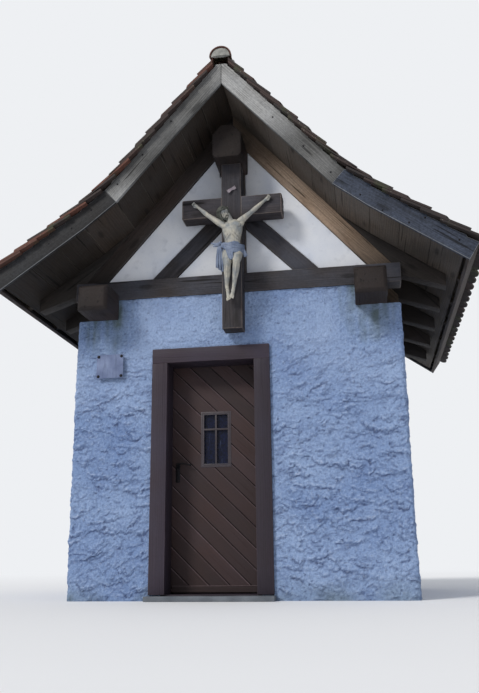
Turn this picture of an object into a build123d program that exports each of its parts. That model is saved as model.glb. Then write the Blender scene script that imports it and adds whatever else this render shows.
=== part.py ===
import math
import os

from build123d import *

# Small wayside chapel, in millimetres.
# Origin at the centre of the footprint on the ground. The front faces -Y, +X is to the right
# of someone who looks at the front, and +Z is up.

# Rendered rubble walls
wall_width = 2960
wall_depth = 2800
wall_thickness = 400
wall_height = 2484
floor_level = 50

# Doorway and door frame
door_centre_x = -216
door_opening_width = 783
door_opening_height = 1990
lining_thickness = 40
lining_setback = 200
rebate_width = 18
casing_width = 140
casing_head_height = 130
casing_thickness = 30
step_reach = 130
step_margin = 12
step_edge = 6
threshold_height = 8

# Door leaf
leaf_thickness = 50
leaf_gap = 5
leaf_bottom_gap = 8
bottom_rail_height = 58
bottom_rail_thickness = 8

# Window in the leaf
window_width = 274
window_height = 498
window_centre_x = -209
window_sill_height = 1072
window_frame_width = 18
window_frame_proud = 4
glass_thickness = 5
glass_seat = 6

# Door furniture
plate_width = 39
plate_height = 173
plate_thickness = 4
plate_bottom_height = 943
plate_inset = 52
plate_corner = 6
lever_drop = 28
lever_reach = 130
lever_dip = 12
lever_height = 15
lever_thickness = 11
lever_standoff = 38
lever_clearance = 0.5
neck_radius = 8
spindle_side = 9
spindle_bore_radius = 7
pintle_radius = 7
pintle_clearance = 0.3
eye_wall = 5
eye_clearance = 1
strap_height = 42
strap_thickness = 6
strap_length = 520
strap_margin = 210
pintle_plate_width = 32

# Timber frame
purlin_width = 276
purlin_height = 235
purlin_inset = 114
purlin_reach = 350
purlin_end_chamfer = 28
ridge_purlin_width = 270
ridge_purlin_height = 235
ridge_purlin_flat = 110
ridge_purlin_reach = 330
tie_beam_height = 180
tie_beam_depth = 190
tie_beam_proud = 30
tie_beam_notch = 49
tie_beam_end = 20
tie_beam_edge = 8
gable_setback = 30
gable_timber_depth = 150
gable_post_width = 220
brace_width = 165
brace_foot = 800
brace_angle = 45.5
infill_setback = 14
infill_thickness = 110
rafter_depth = 160
rafter_width = 130
rafter_seat = 20
sprocket_tail = 140
sprocket_tail_height = 110
sprocket_heel = 96
inner_rafters = 3

# Roof: a steep upper pitch that bends out to a flatter eave
upper_pitch = 49.0
bend_pitch = 38.7
eave_pitch = 35.0
bend_inset = 515
bend_run = 285
eave_reach = 545
roof_overhang = 580
board_thickness = 25
board_stop = 80
counter_batten_height = 60
counter_batten_width = 60
tile_batten_height = 50
tile_batten_width = 60
tile_gauge = 180
tile_layer = 75
tile_step = 26
tile_eave_overhang = 65
tile_verge_overhang = 50
bargeboard_thickness = 30
bargeboard_drop = 20
bargeboard_joint = 3
eave_board_thickness = 30
ridge_tile_radius = 102
ridge_tile_wall = 15
ridge_tile_lip = 9
ridge_tile_length = 340
mortar_depth = 60
mortar_setback = 10

# Cross under the gable, and the carved figure on it
cross_centre_x = 15
cross_post_width = 180
cross_depth = 160
cross_post_foot = 2280
cross_arm_drop = 435
cross_arm_height = 190
cross_arm_left = 464
cross_arm_right = 466
cross_edge = 8
figure_head = 120


# Places worked out from the sizes above
front_face = -wall_depth / 2
back_face = wall_depth / 2
wall_outer = wall_width / 2
wall_inner = wall_outer - wall_thickness
purlin_outer = wall_outer - purlin_inset
purlin_inner = purlin_outer - purlin_width
purlin_top = wall_height + purlin_height
tie_bottom = purlin_top - tie_beam_notch
tie_top = tie_bottom + tie_beam_height
tie_half = wall_outer + tie_beam_end
upper_tan = math.tan(math.radians(upper_pitch))
upper_cos = math.cos(math.radians(upper_pitch))
roof_apex = purlin_top - rafter_seat + rafter_depth / upper_cos + upper_tan * purlin_outer
rafter_under_apex = roof_apex - rafter_depth / upper_cos
ridge_purlin_half = ridge_purlin_width / 2
ridge_purlin_bottom = rafter_under_apex - upper_tan * ridge_purlin_half - ridge_purlin_height
timber_face = front_face + gable_setback
timber_back = timber_face + gable_timber_depth
roof_front = front_face - roof_overhang
tile_bed = board_thickness + counter_batten_height + tile_batten_height
tile_top = tile_bed + tile_layer
lining_half = door_opening_width / 2 + lining_thickness
doorway_left = door_centre_x - lining_half
doorway_right = door_centre_x + lining_half
doorway_top = floor_level + door_opening_height + lining_thickness
leaf_front = front_face + lining_setback + leaf_gap
leaf_back = leaf_front + leaf_thickness
leaf_half = door_opening_width / 2 + rebate_width - leaf_gap
leaf_bottom = floor_level + leaf_bottom_gap
leaf_top = floor_level + door_opening_height + rebate_width - leaf_gap
cross_front = front_face - tie_beam_proud - cross_depth
cross_arm_centre = ridge_purlin_bottom - cross_arm_drop


def block(x_range, y_range, z_range):
    """A squared piece between two faces in each direction."""
    size = [high - low for low, high in (x_range, y_range, z_range)]
    middle = [(low + high) / 2 for low, high in (x_range, y_range, z_range)]
    return Pos(*middle) * Box(*size)


def profile(points, front_y, back_y):
    """A piece with one outline all along its length, drawn in the gable's plane as (x, z)."""
    plane = Plane(origin=(0, back_y, 0), x_dir=(1, 0, 0), z_dir=(0, -1, 0))
    outline = plane * Polygon(*points, align=None)
    return extrude(outline, amount=back_y - front_y, dir=(0, -1, 0))


def mirror_left(piece):
    return mirror(piece, about=Plane.YZ)


def mirror_back(piece):
    return mirror(piece, about=Plane.XZ)


def both_ends(piece):
    """The front piece and its like at the back, in one group."""
    return Compound(children=[*piece.solids(), *mirror_back(piece).solids()])


def both_sides(piece):
    return Compound(children=[*mirror_left(piece).solids(), *piece.solids()])


def roof_line(height, eave_extra=0):
    """The right slope seen from the front, at a height above the underside of the roof boards.

    Four points (x, z): ridge, first bend, second bend, eave. Each stretch is shifted square
    to itself, and the bends are mitred.
    """
    starts = [(0, roof_apex)]
    bend_x = wall_outer - bend_inset
    starts.append((bend_x, roof_apex - upper_tan * bend_x))
    bend_fall = bend_run * math.tan(math.radians(bend_pitch))
    starts.append((bend_x + bend_run, starts[1][1] - bend_fall))
    pitches = [upper_pitch, bend_pitch, eave_pitch]
    slopes = [math.tan(math.radians(pitch)) for pitch in pitches]
    # z at x = 0 of each shifted stretch
    levels = []
    for (x, z), pitch, slope in zip(starts, pitches, slopes):
        levels.append(z + slope * x + height / math.cos(math.radians(pitch)))
    points = [(0, levels[0])]
    for first in (0, 1):
        x = (levels[first] - levels[first + 1]) / (slopes[first] - slopes[first + 1])
        points.append((x, levels[first] - slopes[first] * x))
    eave_x = wall_outer + eave_reach
    eave_x += height * math.sin(math.radians(eave_pitch))
    eave_x += eave_extra * math.cos(math.radians(eave_pitch))
    points.append((eave_x, levels[2] - slopes[2] * eave_x))
    return points


def up_from_eave(line, distance):
    """The point at a distance up the slope from the lower end of a roof line."""
    rest = distance
    for lower, upper in zip(line[::-1], line[-2::-1]):
        length = math.dist(lower, upper)
        if rest <= length:
            share = rest / length
            x = lower[0] + (upper[0] - lower[0]) * share
            return (x, lower[1] + (upper[1] - lower[1]) * share)
        rest -= length
    return line[0]


def stretch_of(line, low, high):
    """The points of a roof line between two distances up from the eave, its bends included."""
    points = [up_from_eave(line, low)]
    passed = 0
    for lower, upper in zip(line[::-1], line[-2::-1]):
        passed += math.dist(lower, upper)
        if low < passed < high:
            points.append(upper)
    points.append(up_from_eave(line, high))
    return points


def roof_layer(low, high, front_y, back_y, eave_extra=0):
    """A layer of the right slope between two heights above the underside of the boards."""
    outline = roof_line(low, eave_extra) + roof_line(high, eave_extra)[::-1]
    return profile(outline, front_y, back_y)


# Masonry: the walls stand on the ground, with the doorway cut through the front wall


def front_wall_outline(doorway_x):
    """Front wall beside the doorway, left or right: lower under the purlin, higher between the purlins."""
    side = math.copysign(1, doorway_x - door_centre_x)
    return [
        (doorway_x, 0),
        (side * wall_outer, 0),
        (side * wall_outer, wall_height),
        (side * purlin_inner, wall_height),
        (side * purlin_inner, tie_bottom),
        (doorway_x, tie_bottom),
    ]


front_inner = front_face + wall_thickness
front_wall_left = profile(front_wall_outline(doorway_left), front_face, front_inner)
front_wall_right = profile(front_wall_outline(doorway_right), front_face, front_inner)
front_wall_over_door = block(
    (doorway_left, doorway_right), (front_face, front_inner), (doorway_top, tie_bottom)
)
back_wall_outline = [
    (-wall_outer, 0),
    (wall_outer, 0),
    (wall_outer, wall_height),
    (purlin_inner, wall_height),
    (purlin_inner, tie_bottom),
    (-purlin_inner, tie_bottom),
    (-purlin_inner, wall_height),
    (-wall_outer, wall_height),
]
back_wall = profile(back_wall_outline, back_face - wall_thickness, back_face)
right_wall = block((wall_inner, wall_outer), (front_inner, -front_inner), (0, wall_height))
left_wall = mirror_left(right_wall)
floor_slab = block((-wall_inner, wall_inner), (front_inner, -front_inner), (0, floor_level))

# Stone step: wider than the door frame in front of the wall, and carried through the doorway
step_top = floor_level - threshold_height
step_half = door_opening_width / 2 + casing_width + step_margin
step_x = (door_centre_x - step_half, door_centre_x + step_half)
step_front = block(step_x, (front_face - step_reach, front_face), (0, step_top))
step_inside = block((doorway_left, doorway_right), (front_face, front_inner), (0, step_top))
door_step = step_front + step_inside
step_nose = door_step.faces().sort_by(Axis.Y)[0].edges().group_by(Axis.Z)[-1]
door_step = chamfer(step_nose, step_edge)

# Wall purlins lie on the side walls and run out past both gables
purlin_blank = block((purlin_inner, purlin_outer), (front_face - purlin_reach, 0), (wall_height, purlin_top))
purlin_ends = purlin_blank.faces().sort_by(Axis.Y)[0].edges()
purlin_front = chamfer(purlin_ends, purlin_end_chamfer)
right_wall_purlin = purlin_front + mirror_back(purlin_front)

# Ridge purlin, with its upper corners bevelled to the slope of the rafters
ridge_flat_half = ridge_purlin_flat / 2
ridge_outline = [
    (ridge_purlin_half, ridge_purlin_bottom),
    (ridge_purlin_half, rafter_under_apex - upper_tan * ridge_purlin_half),
    (ridge_flat_half, rafter_under_apex - upper_tan * ridge_flat_half),
]
ridge_outline += [(-x, z) for x, z in ridge_outline[::-1]]
ridge_blank = profile(ridge_outline, front_face - ridge_purlin_reach, 0)
ridge_lower_edges = ridge_blank.edges().filter_by(Axis.Y).group_by(Axis.Z)[0]
ridge_front = chamfer(ridge_lower_edges, purlin_end_chamfer)
ridge_purlin = ridge_front + mirror_back(ridge_front)

# Tie beam across the gable, notched over the wall purlins
tie_blank = block(
    (-tie_half, tie_half),
    (front_face - tie_beam_proud, front_face - tie_beam_proud + tie_beam_depth),
    (tie_bottom, tie_top),
)
tie_blank = chamfer(tie_blank.edges().filter_by(Axis.Y), tie_beam_edge)
front_tie_beam = tie_blank - right_wall_purlin - mirror_left(right_wall_purlin)

# Gable post from the tie beam up to the ridge purlin
post_half = gable_post_width / 2
front_gable_post = block((-post_half, post_half), (timber_face, timber_back), (tie_top, ridge_purlin_bottom))


# Braces from the tie beam up to the gable post
brace_run = brace_width / math.sin(math.radians(brace_angle))
brace_slope = math.tan(math.radians(brace_angle))
brace_outline = [
    (brace_foot, tie_top),
    (post_half, tie_top + brace_slope * (brace_foot - post_half)),
    (post_half, tie_top + brace_slope * (brace_foot - brace_run - post_half)),
    (brace_foot - brace_run, tie_top),
]
right_brace = profile(brace_outline, timber_face, timber_back)
front_braces = both_sides(right_brace)


# Rafters: the gable pairs stand on the tie beams, the inner ones are notched over the purlins


def right_rafter(foot_z, front_y):
    """A rafter with a plumb joint at the ridge and a level foot, or a plumb end past the wall."""
    top_foot = min((roof_apex - foot_z) / upper_tan, tie_half)
    low_foot = min((rafter_under_apex - foot_z) / upper_tan, tie_half)
    outline = [
        (0, rafter_under_apex),
        (low_foot, rafter_under_apex - upper_tan * low_foot),
        (top_foot, roof_apex - upper_tan * top_foot),
        (0, roof_apex),
    ]
    return profile(outline, front_y, front_y + rafter_width)


gable_rafter = right_rafter(tie_top, timber_face)
rafter_pitch = (-2 * timber_face - rafter_width) / (inner_rafters + 1)
inner_rafter_fronts = [timber_face + rafter_pitch * (number + 1) for number in range(inner_rafters)]
inner_set = []
for inner_front in inner_rafter_fronts:
    inner_set.append(right_rafter(wall_height, inner_front) - right_wall_purlin)
right_rafters = Compound(
    children=[gable_rafter, *[rafter.solid() for rafter in inner_set], mirror_back(gable_rafter)]
)

# Sprockets: wedges on the rafters that lift the eave to its flatter pitch and carry its end
soffit = roof_line(0)
tail_x = wall_outer + eave_reach - sprocket_tail
tail_z = soffit[3][1] + (soffit[3][0] - tail_x) * math.tan(math.radians(eave_pitch))
sprocket_outline = [
    soffit[1],
    soffit[2],
    (tail_x, tail_z),
    (tail_x, tail_z - sprocket_tail_height),
    (tie_half, tie_top - sprocket_heel),
    (tie_half, roof_apex - upper_tan * tie_half),
]
sprocket_set = []
rafter_fronts = [timber_face, *inner_rafter_fronts, -timber_face - rafter_width]
for rafter_front in rafter_fronts:
    wedge = profile(sprocket_outline, rafter_front, rafter_front + rafter_width)
    wedge = wedge - front_tie_beam - mirror_back(front_tie_beam)
    sprocket_set.append(wedge.solid())
right_sprockets = Compound(children=sprocket_set)

# Plastered panels between the gable timbers
panel_half = (rafter_under_apex - tie_top) / upper_tan
panel_top = ridge_purlin_half
panel_outline = [
    (-panel_half, tie_top),
    (panel_half, tie_top),
    (panel_top, rafter_under_apex - upper_tan * panel_top),
    (panel_top, ridge_purlin_bottom),
    (-panel_top, ridge_purlin_bottom),
    (-panel_top, rafter_under_apex - upper_tan * panel_top),
]
infill_face = timber_face + infill_setback
infill_blank = profile(panel_outline, infill_face, infill_face + infill_thickness)
front_gable_infill = infill_blank - front_gable_post - right_brace - mirror_left(right_brace)

# Roof boards, battens and tile courses
boards_stop = -board_stop
barge_back = roof_front + bargeboard_thickness
right_roof_boards = roof_layer(0, board_thickness, barge_back, -barge_back, boards_stop)
counter_set = []
for rafter_front in rafter_fronts:
    middle = rafter_front + rafter_width / 2
    counter_set.append(
        roof_layer(
            board_thickness,
            board_thickness + counter_batten_height,
            middle - counter_batten_width / 2,
            middle + counter_batten_width / 2,
            -eave_board_thickness,
        )
    )
batten_low = roof_line(board_thickness + counter_batten_height, -eave_board_thickness)
batten_high = roof_line(tile_bed, -eave_board_thickness)
slope_length = sum(math.dist(a, b) for a, b in zip(batten_low, batten_low[1:]))
batten_count = int((slope_length - tile_batten_width) // tile_gauge) + 1
right_battens = counter_set[0]
for counter_batten in counter_set[1:]:
    right_battens = right_battens + counter_batten
for number in range(batten_count):
    low = number * tile_gauge
    high = low + tile_batten_width
    outline = stretch_of(batten_low, low, high) + stretch_of(batten_high, low, high)[::-1]
    right_battens = right_battens + profile(outline, barge_back, -barge_back)

tile_front = roof_front - tile_verge_overhang
bed_line = roof_line(tile_bed, tile_eave_overhang)
tail_line = roof_line(tile_top, tile_eave_overhang)
foot_line = roof_line(tile_top - tile_step, tile_eave_overhang)
mortar_radius = ridge_tile_radius - ridge_tile_wall
ridge_seat = roof_apex + tile_top / upper_cos - upper_tan * mortar_radius
tile_outline = bed_line + [tail_line[3]]
course = 1
while up_from_eave(tail_line, course * tile_gauge)[0] > ridge_tile_radius:
    tile_outline.append(up_from_eave(foot_line, course * tile_gauge))
    tile_outline.append(up_from_eave(tail_line, course * tile_gauge))
    course += 1
tile_outline.append(tail_line[0])
above_ridge_seat = block((0, ridge_tile_radius), (tile_front, -tile_front), (ridge_seat, tail_line[0][1]))
right_tile_courses = profile(tile_outline, tile_front, -tile_front) - above_ridge_seat

# Half-round ridge tiles: each one's wide end laps over the narrow end of the next
ridge_outline_points = [(tile_front, mortar_radius)]
ridge_count = round(-2 * tile_front / ridge_tile_length)
ridge_step = -2 * tile_front / ridge_count
for number in range(ridge_count):
    lap_front = tile_front + number * ridge_step
    ridge_outline_points.append((lap_front, ridge_tile_radius))
    ridge_outline_points.append((lap_front + ridge_step, ridge_tile_radius - ridge_tile_lip))
ridge_outline_points.append((-tile_front, mortar_radius))
ridge_section = Plane(origin=(0, 0, ridge_seat), x_dir=(0, 1, 0), z_dir=(0, 0, 1)) * Polygon(
    *[(along, -radius) for along, radius in ridge_outline_points], align=None
)
ridge_axis = Axis((0, 0, ridge_seat), (0, 1, 0))
ridge_tiles = revolve(ridge_section, ridge_axis, -180)

# Mortar that closes the two open ends of the ridge
mortar_disc = Rot(90, 0, 0) * Cylinder(mortar_radius, mortar_depth)
mortar_disc = Pos(0, tile_front + mortar_setback + mortar_depth / 2, ridge_seat) * mortar_disc
mortar_half = mortar_disc - block(
    (-ridge_tile_radius, ridge_tile_radius), (tile_front, 0), (ridge_seat - ridge_tile_radius, ridge_seat)
)
ridge_mortar = both_ends(mortar_half)

# Bargeboards: an upper and a lower board each side, joined at the bend, and eave boards behind their ends
board_low = roof_line(-bargeboard_drop)
board_high = roof_line(tile_bed)
joint_half = bargeboard_joint / 2
joint_fall = upper_tan * joint_half
upper_outline = [
    (joint_half, board_low[0][1] - joint_fall),
    board_low[1],
    board_high[1],
    (joint_half, board_high[0][1] - joint_fall),
]
lower_outline = board_low[1:] + board_high[:0:-1]
front_upper_bargeboards = both_sides(profile(upper_outline, roof_front, barge_back))
front_lower_bargeboards = both_sides(profile(lower_outline, roof_front, barge_back))

eave_inner_low = roof_line(-bargeboard_drop, -eave_board_thickness)[3]
eave_inner_high = roof_line(tile_bed, -eave_board_thickness)[3]
eave_outline = [board_low[3], board_high[3], eave_inner_high, eave_inner_low]
right_eave_board = profile(eave_outline, barge_back, -barge_back)

# Door frame: casing boards on the wall, and a lining through it with a rebate for the leaf


def doorway_ring(inner_half, outer_half, inner_top, outer_top, front_y, back_y):
    """A three-sided frame round the doorway, open at the floor."""
    outline = [
        (door_centre_x - outer_half, floor_level),
        (door_centre_x - outer_half, outer_top),
        (door_centre_x + outer_half, outer_top),
        (door_centre_x + outer_half, floor_level),
        (door_centre_x + inner_half, floor_level),
        (door_centre_x + inner_half, inner_top),
        (door_centre_x - inner_half, inner_top),
        (door_centre_x - inner_half, floor_level),
    ]
    return profile(outline, front_y, back_y)


opening_half = door_opening_width / 2
opening_top = floor_level + door_opening_height
shoulder = front_face + lining_setback
casing = doorway_ring(
    opening_half,
    opening_half + casing_width,
    opening_top,
    opening_top + casing_head_height,
    front_face - casing_thickness,
    front_face,
)
lining = doorway_ring(opening_half, lining_half, opening_top, doorway_top, front_face, shoulder)
rebated = doorway_ring(
    opening_half + rebate_width,
    lining_half,
    opening_top + rebate_width,
    doorway_top,
    shoulder,
    leaf_back,
)
threshold = block((doorway_left, doorway_right), (front_face, leaf_back), (step_top, floor_level))
door_frame = casing + lining + rebated + threshold

# Door leaf with its window cut through, a rail along the foot and the hole for the spindle
window_bottom = floor_level + window_sill_height
window_x = (window_centre_x - window_width / 2, window_centre_x + window_width / 2)
window_z = (window_bottom, window_bottom + window_height)
leaf_x = (door_centre_x - leaf_half, door_centre_x + leaf_half)
leaf_blank = block(leaf_x, (leaf_front, leaf_back), (leaf_bottom, leaf_top))
bottom_rail = block(
    (door_centre_x - opening_half + leaf_gap, door_centre_x + opening_half - leaf_gap),
    (leaf_front - bottom_rail_thickness, leaf_front),
    (leaf_bottom, leaf_bottom + bottom_rail_height),
)
rail_top_edge = bottom_rail.faces().sort_by(Axis.Y)[0].edges().group_by(Axis.Z)[-1]
bottom_rail = chamfer(rail_top_edge, bottom_rail_thickness / 2)
spindle_x = door_centre_x - opening_half + plate_inset
plate_bottom = floor_level + plate_bottom_height
spindle_z = plate_bottom + plate_height - lever_drop


def along_y(radius, front_y, back_y, x, z):
    """A round bar that runs front to back."""
    return Pos(x, (front_y + back_y) / 2, z) * Rot(90, 0, 0) * Cylinder(radius, back_y - front_y)


cut_y = (leaf_front - leaf_thickness, leaf_back + leaf_thickness)
spindle_bore = along_y(spindle_bore_radius, *cut_y, spindle_x, spindle_z)
window_cut = block(window_x, cut_y, window_z)
door_leaf = leaf_blank + bottom_rail - window_cut - spindle_bore

# Window frame right through the leaf, with a groove for the pane
frame_front = leaf_front - window_frame_proud
frame_back = leaf_back + window_frame_proud
frame_blank = block(window_x, (frame_front, frame_back), window_z)
daylight_x = (window_x[0] + window_frame_width, window_x[1] - window_frame_width)
daylight_z = (window_z[0] + window_frame_width, window_z[1] - window_frame_width)
daylight = block(daylight_x, (frame_front, frame_back), daylight_z)
glass_middle = (leaf_front + leaf_back) / 2
door_glass = block(
    (daylight_x[0] - glass_seat, daylight_x[1] + glass_seat),
    (glass_middle - glass_thickness / 2, glass_middle + glass_thickness / 2),
    (daylight_z[0] - glass_seat, daylight_z[1] + glass_seat),
)
door_window_frame = frame_blank - daylight - door_glass

# Handle plates on both faces of the leaf
plate_x = (spindle_x - plate_width / 2, spindle_x + plate_width / 2)
plate_z = (plate_bottom, plate_bottom + plate_height)
outer_plate = block(plate_x, (leaf_front - plate_thickness, leaf_front), plate_z)
outer_plate = chamfer(outer_plate.edges().filter_by(Axis.Y), plate_corner)
inner_plate = block(plate_x, (leaf_back, leaf_back + plate_thickness), plate_z)
inner_plate = chamfer(inner_plate.edges().filter_by(Axis.Y), plate_corner)
bored_plates = [(plate - spindle_bore).solid() for plate in (outer_plate, inner_plate)]
door_handle_plates = Compound(children=bored_plates)


def lever_grip(face_y, away):
    """A forged grip on one face of the leaf: a short neck and a flat arm that curls up at its end."""
    reaches = [-neck_radius, 0, lever_reach / 4, lever_reach / 2, lever_reach * 3 / 4, lever_reach]
    falls = [0, 0, -lever_dip * 2 / 3, -lever_dip, -lever_dip / 2, lever_dip]
    upper = [(spindle_x + reach, spindle_z + fall + lever_height / 2) for reach, fall in zip(reaches, falls)]
    lower = [(x, z - lever_height) for x, z in upper]
    grip_y = face_y + away * lever_standoff
    arm = profile(upper + lower[::-1], grip_y - lever_thickness / 2, grip_y + lever_thickness / 2)
    neck_range = sorted((face_y + away * (plate_thickness + lever_clearance), grip_y))
    return arm + along_y(neck_radius, *neck_range, spindle_x, spindle_z)


half_side = spindle_side / 2
spindle = block(
    (spindle_x - half_side, spindle_x + half_side),
    (leaf_front - lever_standoff, leaf_back + lever_standoff),
    (spindle_z - half_side, spindle_z + half_side),
)
door_lever = lever_grip(leaf_front, -1) + lever_grip(leaf_back, 1) + spindle

# Strap hinges: straps with eyes on the inner face of the leaf, pins on plates on the frame
eye_radius = pintle_radius + pintle_clearance + eye_wall
hinge_x = door_centre_x + leaf_half + leaf_gap / 2
hinge_y = leaf_back + eye_radius + eye_clearance
strap_set = []
pintle_set = []
for strap_middle in (leaf_bottom + strap_margin, leaf_top - strap_margin):
    strap = block(
        (hinge_x - strap_length, hinge_x),
        (leaf_back, leaf_back + strap_thickness),
        (strap_middle - strap_height / 2, strap_middle + strap_height / 2),
    )
    eye = Pos(hinge_x, hinge_y, strap_middle) * Cylinder(eye_radius, strap_height)
    bore = Pos(hinge_x, hinge_y, strap_middle) * Cylinder(pintle_radius + pintle_clearance, strap_height)
    strap_set.append((strap + eye - bore).solid())
    pin_top = strap_middle + strap_height / 2 + leaf_gap
    pin_foot = strap_middle - strap_height / 2 - pintle_clearance
    pin = Pos(hinge_x, hinge_y, (pin_top + pin_foot) / 2) * Cylinder(pintle_radius, pin_top - pin_foot)
    knee = block(
        (hinge_x - pintle_radius, doorway_right),
        (hinge_y - pintle_radius, hinge_y + pintle_radius),
        (pin_foot - pintle_plate_width, pin_foot),
    )
    pintle_set.append((pin + knee).solid())
door_hinge_straps = Compound(children=strap_set)
door_hinge_pins = Compound(children=pintle_set)

# Cross: post under the ridge purlin, in front of the tie beam, halved over the arm behind it
arm_z = (cross_arm_centre - cross_arm_height / 2, cross_arm_centre + cross_arm_height / 2)
cross_back = cross_front + cross_depth
cross_middle = (cross_front + cross_back) / 2
post_x = (cross_centre_x - cross_post_width / 2, cross_centre_x + cross_post_width / 2)
arm_x = (cross_centre_x - cross_arm_left, cross_centre_x + cross_arm_right)
post_blank = block(post_x, (cross_front, cross_back), (cross_post_foot, ridge_purlin_bottom))
arm_blank = block(arm_x, (cross_front, cross_back), arm_z)
back_half = block(arm_x, (cross_middle, cross_back), arm_z)
cross_post = post_blank - back_half
cross_arm = arm_blank - block(post_x, (cross_front, cross_middle), arm_z)
cross_arm = chamfer(cross_arm.faces().filter_by(Axis.X).sort_by(Axis.X)[0].edges(), cross_edge)
cross_arm = chamfer(cross_arm.faces().filter_by(Axis.X).sort_by(Axis.X)[-1].edges(), cross_edge)


# Carved figure: faceted limbs and body, all of their places and radii counted in heights of the head


def figure_point(across, up, forward):
    """A point by its place from the middle of the cross's arm."""
    across, up, forward = (count * figure_head for count in (across, up, forward))
    return Vector(cross_centre_x + across, cross_front - forward, cross_arm_centre + up)


def limb(start, start_radius, end, end_radius):
    """A tapering eight-sided piece from one joint to the next, narrowed past both joints."""
    start, end = figure_point(*start), figure_point(*end)
    start_radius, end_radius = start_radius * figure_head, end_radius * figure_head
    along = (end - start).normalized()
    stations = [
        (start - along * start_radius * 3 / 4, start_radius / 2),
        (start, start_radius),
        (end, end_radius),
        (end + along * end_radius * 3 / 4, end_radius / 2),
    ]
    sections = []
    for centre, radius in stations:
        sections.append(Plane(origin=centre, z_dir=along) * RegularPolygon(radius, 8, major_radius=False))
    return loft(sections, ruled=True)


def body(*levels):
    """A trunk through level eight-sided sections: across, up, forward, half width, half depth."""
    sections = []
    for across, up, forward, half_width, half_depth in levels:
        corners = []
        for corner in range(8):
            turn = math.radians(45 * corner + 22.5)
            x, y = half_width * math.cos(turn), half_depth * math.sin(turn)
            corners.append((x * figure_head, y * figure_head))
        plane = Plane(origin=figure_point(across, up, forward), x_dir=(1, 0, 0), z_dir=(0, 0, 1))
        sections.append(plane * Polygon(*corners, align=None))
    return loft(sections, ruled=True)


hand_radius = 0.14
hand_forward = 0.12
figure_pieces = [
    body(
        (0.2, -4.33, 0.48, 0.65, 0.41),
        (0.2, -3.38, 0.45, 0.54, 0.36),
        (0.17, -2.75, 0.47, 0.56, 0.36),
        (0.1, -2.0, 0.48, 0.68, 0.41),
        (0.07, -1.38, 0.42, 0.66, 0.3),
    ),
    body((0.23, -5.08, 0.48, 0.77, 0.54), (0.22, -4.33, 0.48, 0.79, 0.54), (0.2, -3.46, 0.45, 0.67, 0.44)),
    body(
        (-0.3, -1.42, 0.86, 0.14, 0.14),
        (-0.38, -1.2, 0.84, 0.32, 0.34),
        (-0.42, -0.9, 0.8, 0.4, 0.44),
        (-0.42, -0.6, 0.78, 0.22, 0.26),
    ),
    limb((0.02, -1.46, 0.47), 0.26, (-0.28, -1.17, 0.7), 0.22),
    limb((-0.62, -1.58, 0.45), 0.27, (-1.78, -0.6, 0.28), 0.19),
    limb((-1.78, -0.6, 0.28), 0.18, (-2.65, 0.15, hand_forward), 0.12),
    limb((-2.65, 0.15, hand_forward), 0.13, (-2.88, 0.38, hand_forward), hand_radius),
    limb((0.7, -1.5, 0.45), 0.27, (1.63, -0.63, 0.28), 0.19),
    limb((1.63, -0.63, 0.28), 0.18, (2.65, 0.22, hand_forward), 0.12),
    limb((2.65, 0.22, hand_forward), 0.13, (2.9, 0.42, hand_forward), hand_radius),
    limb((-0.05, -4.67, 0.5), 0.4, (-0.13, -5.33, 0.9), 0.3),
    limb((-0.13, -5.33, 0.9), 0.29, (-0.08, -7.08, 0.37), 0.17),
    limb((0.48, -4.67, 0.5), 0.4, (0.53, -4.88, 0.93), 0.3),
    limb((0.53, -4.88, 0.93), 0.29, (0.03, -6.98, 0.5), 0.17),
    limb((-0.03, -7.05, 0.38), 0.22, (-0.03, -7.65, 0.52), 0.16),
]
carved_figure = figure_pieces[0]
for piece in figure_pieces[1:]:
    carved_figure = carved_figure + piece
behind_cross = block(
    (arm_x[0] - figure_head, arm_x[1] + figure_head),
    (cross_front, cross_front + figure_head),
    (cross_arm_centre - 9 * figure_head, cross_arm_centre + 2 * figure_head),
)
carved_figure = carved_figure - behind_cross

nodes = {
    "front_wall_left": front_wall_left,
    "front_wall_right": front_wall_right,
    "front_wall_over_door": front_wall_over_door,
    "left_wall": left_wall,
    "right_wall": right_wall,
    "back_wall": back_wall,
    "floor_slab": floor_slab,
    "door_step": door_step,
    "left_wall_purlin": mirror_left(right_wall_purlin),
    "right_wall_purlin": right_wall_purlin,
    "ridge_purlin": ridge_purlin,
    "front_tie_beam": front_tie_beam,
    "back_tie_beam": mirror_back(front_tie_beam),
    "front_gable_post": front_gable_post,
    "back_gable_post": mirror_back(front_gable_post),
    "front_braces": front_braces,
    "back_braces": mirror_back(front_braces),
    "left_rafters": mirror_left(right_rafters),
    "right_rafters": right_rafters,
    "left_sprockets": mirror_left(right_sprockets),
    "right_sprockets": right_sprockets,
    "front_gable_infill": front_gable_infill,
    "back_gable_infill": mirror_back(front_gable_infill),
    "left_roof_boards": mirror_left(right_roof_boards),
    "right_roof_boards": right_roof_boards,
    "left_battens": mirror_left(right_battens),
    "right_battens": right_battens,
    "left_tile_courses": mirror_left(right_tile_courses),
    "right_tile_courses": right_tile_courses,
    "ridge_tiles": ridge_tiles,
    "ridge_mortar": ridge_mortar,
    "front_upper_bargeboards": front_upper_bargeboards,
    "front_lower_bargeboards": front_lower_bargeboards,
    "back_upper_bargeboards": mirror_back(front_upper_bargeboards),
    "back_lower_bargeboards": mirror_back(front_lower_bargeboards),
    "left_eave_board": mirror_left(right_eave_board),
    "right_eave_board": right_eave_board,
    "door_frame": door_frame,
    "door_leaf": door_leaf,
    "door_window_frame": door_window_frame,
    "door_glass": door_glass,
    "door_handle_plates": door_handle_plates,
    "door_lever": door_lever,
    "door_hinge_straps": door_hinge_straps,
    "door_hinge_pins": door_hinge_pins,
    "cross_post": cross_post,
    "cross_arm": cross_arm,
    "carved_figure": carved_figure,
}

os.makedirs("parts", exist_ok=True)
for name, shape in nodes.items():
    export_step(shape, f"parts/{name}.step")
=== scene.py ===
import math
import random

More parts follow.
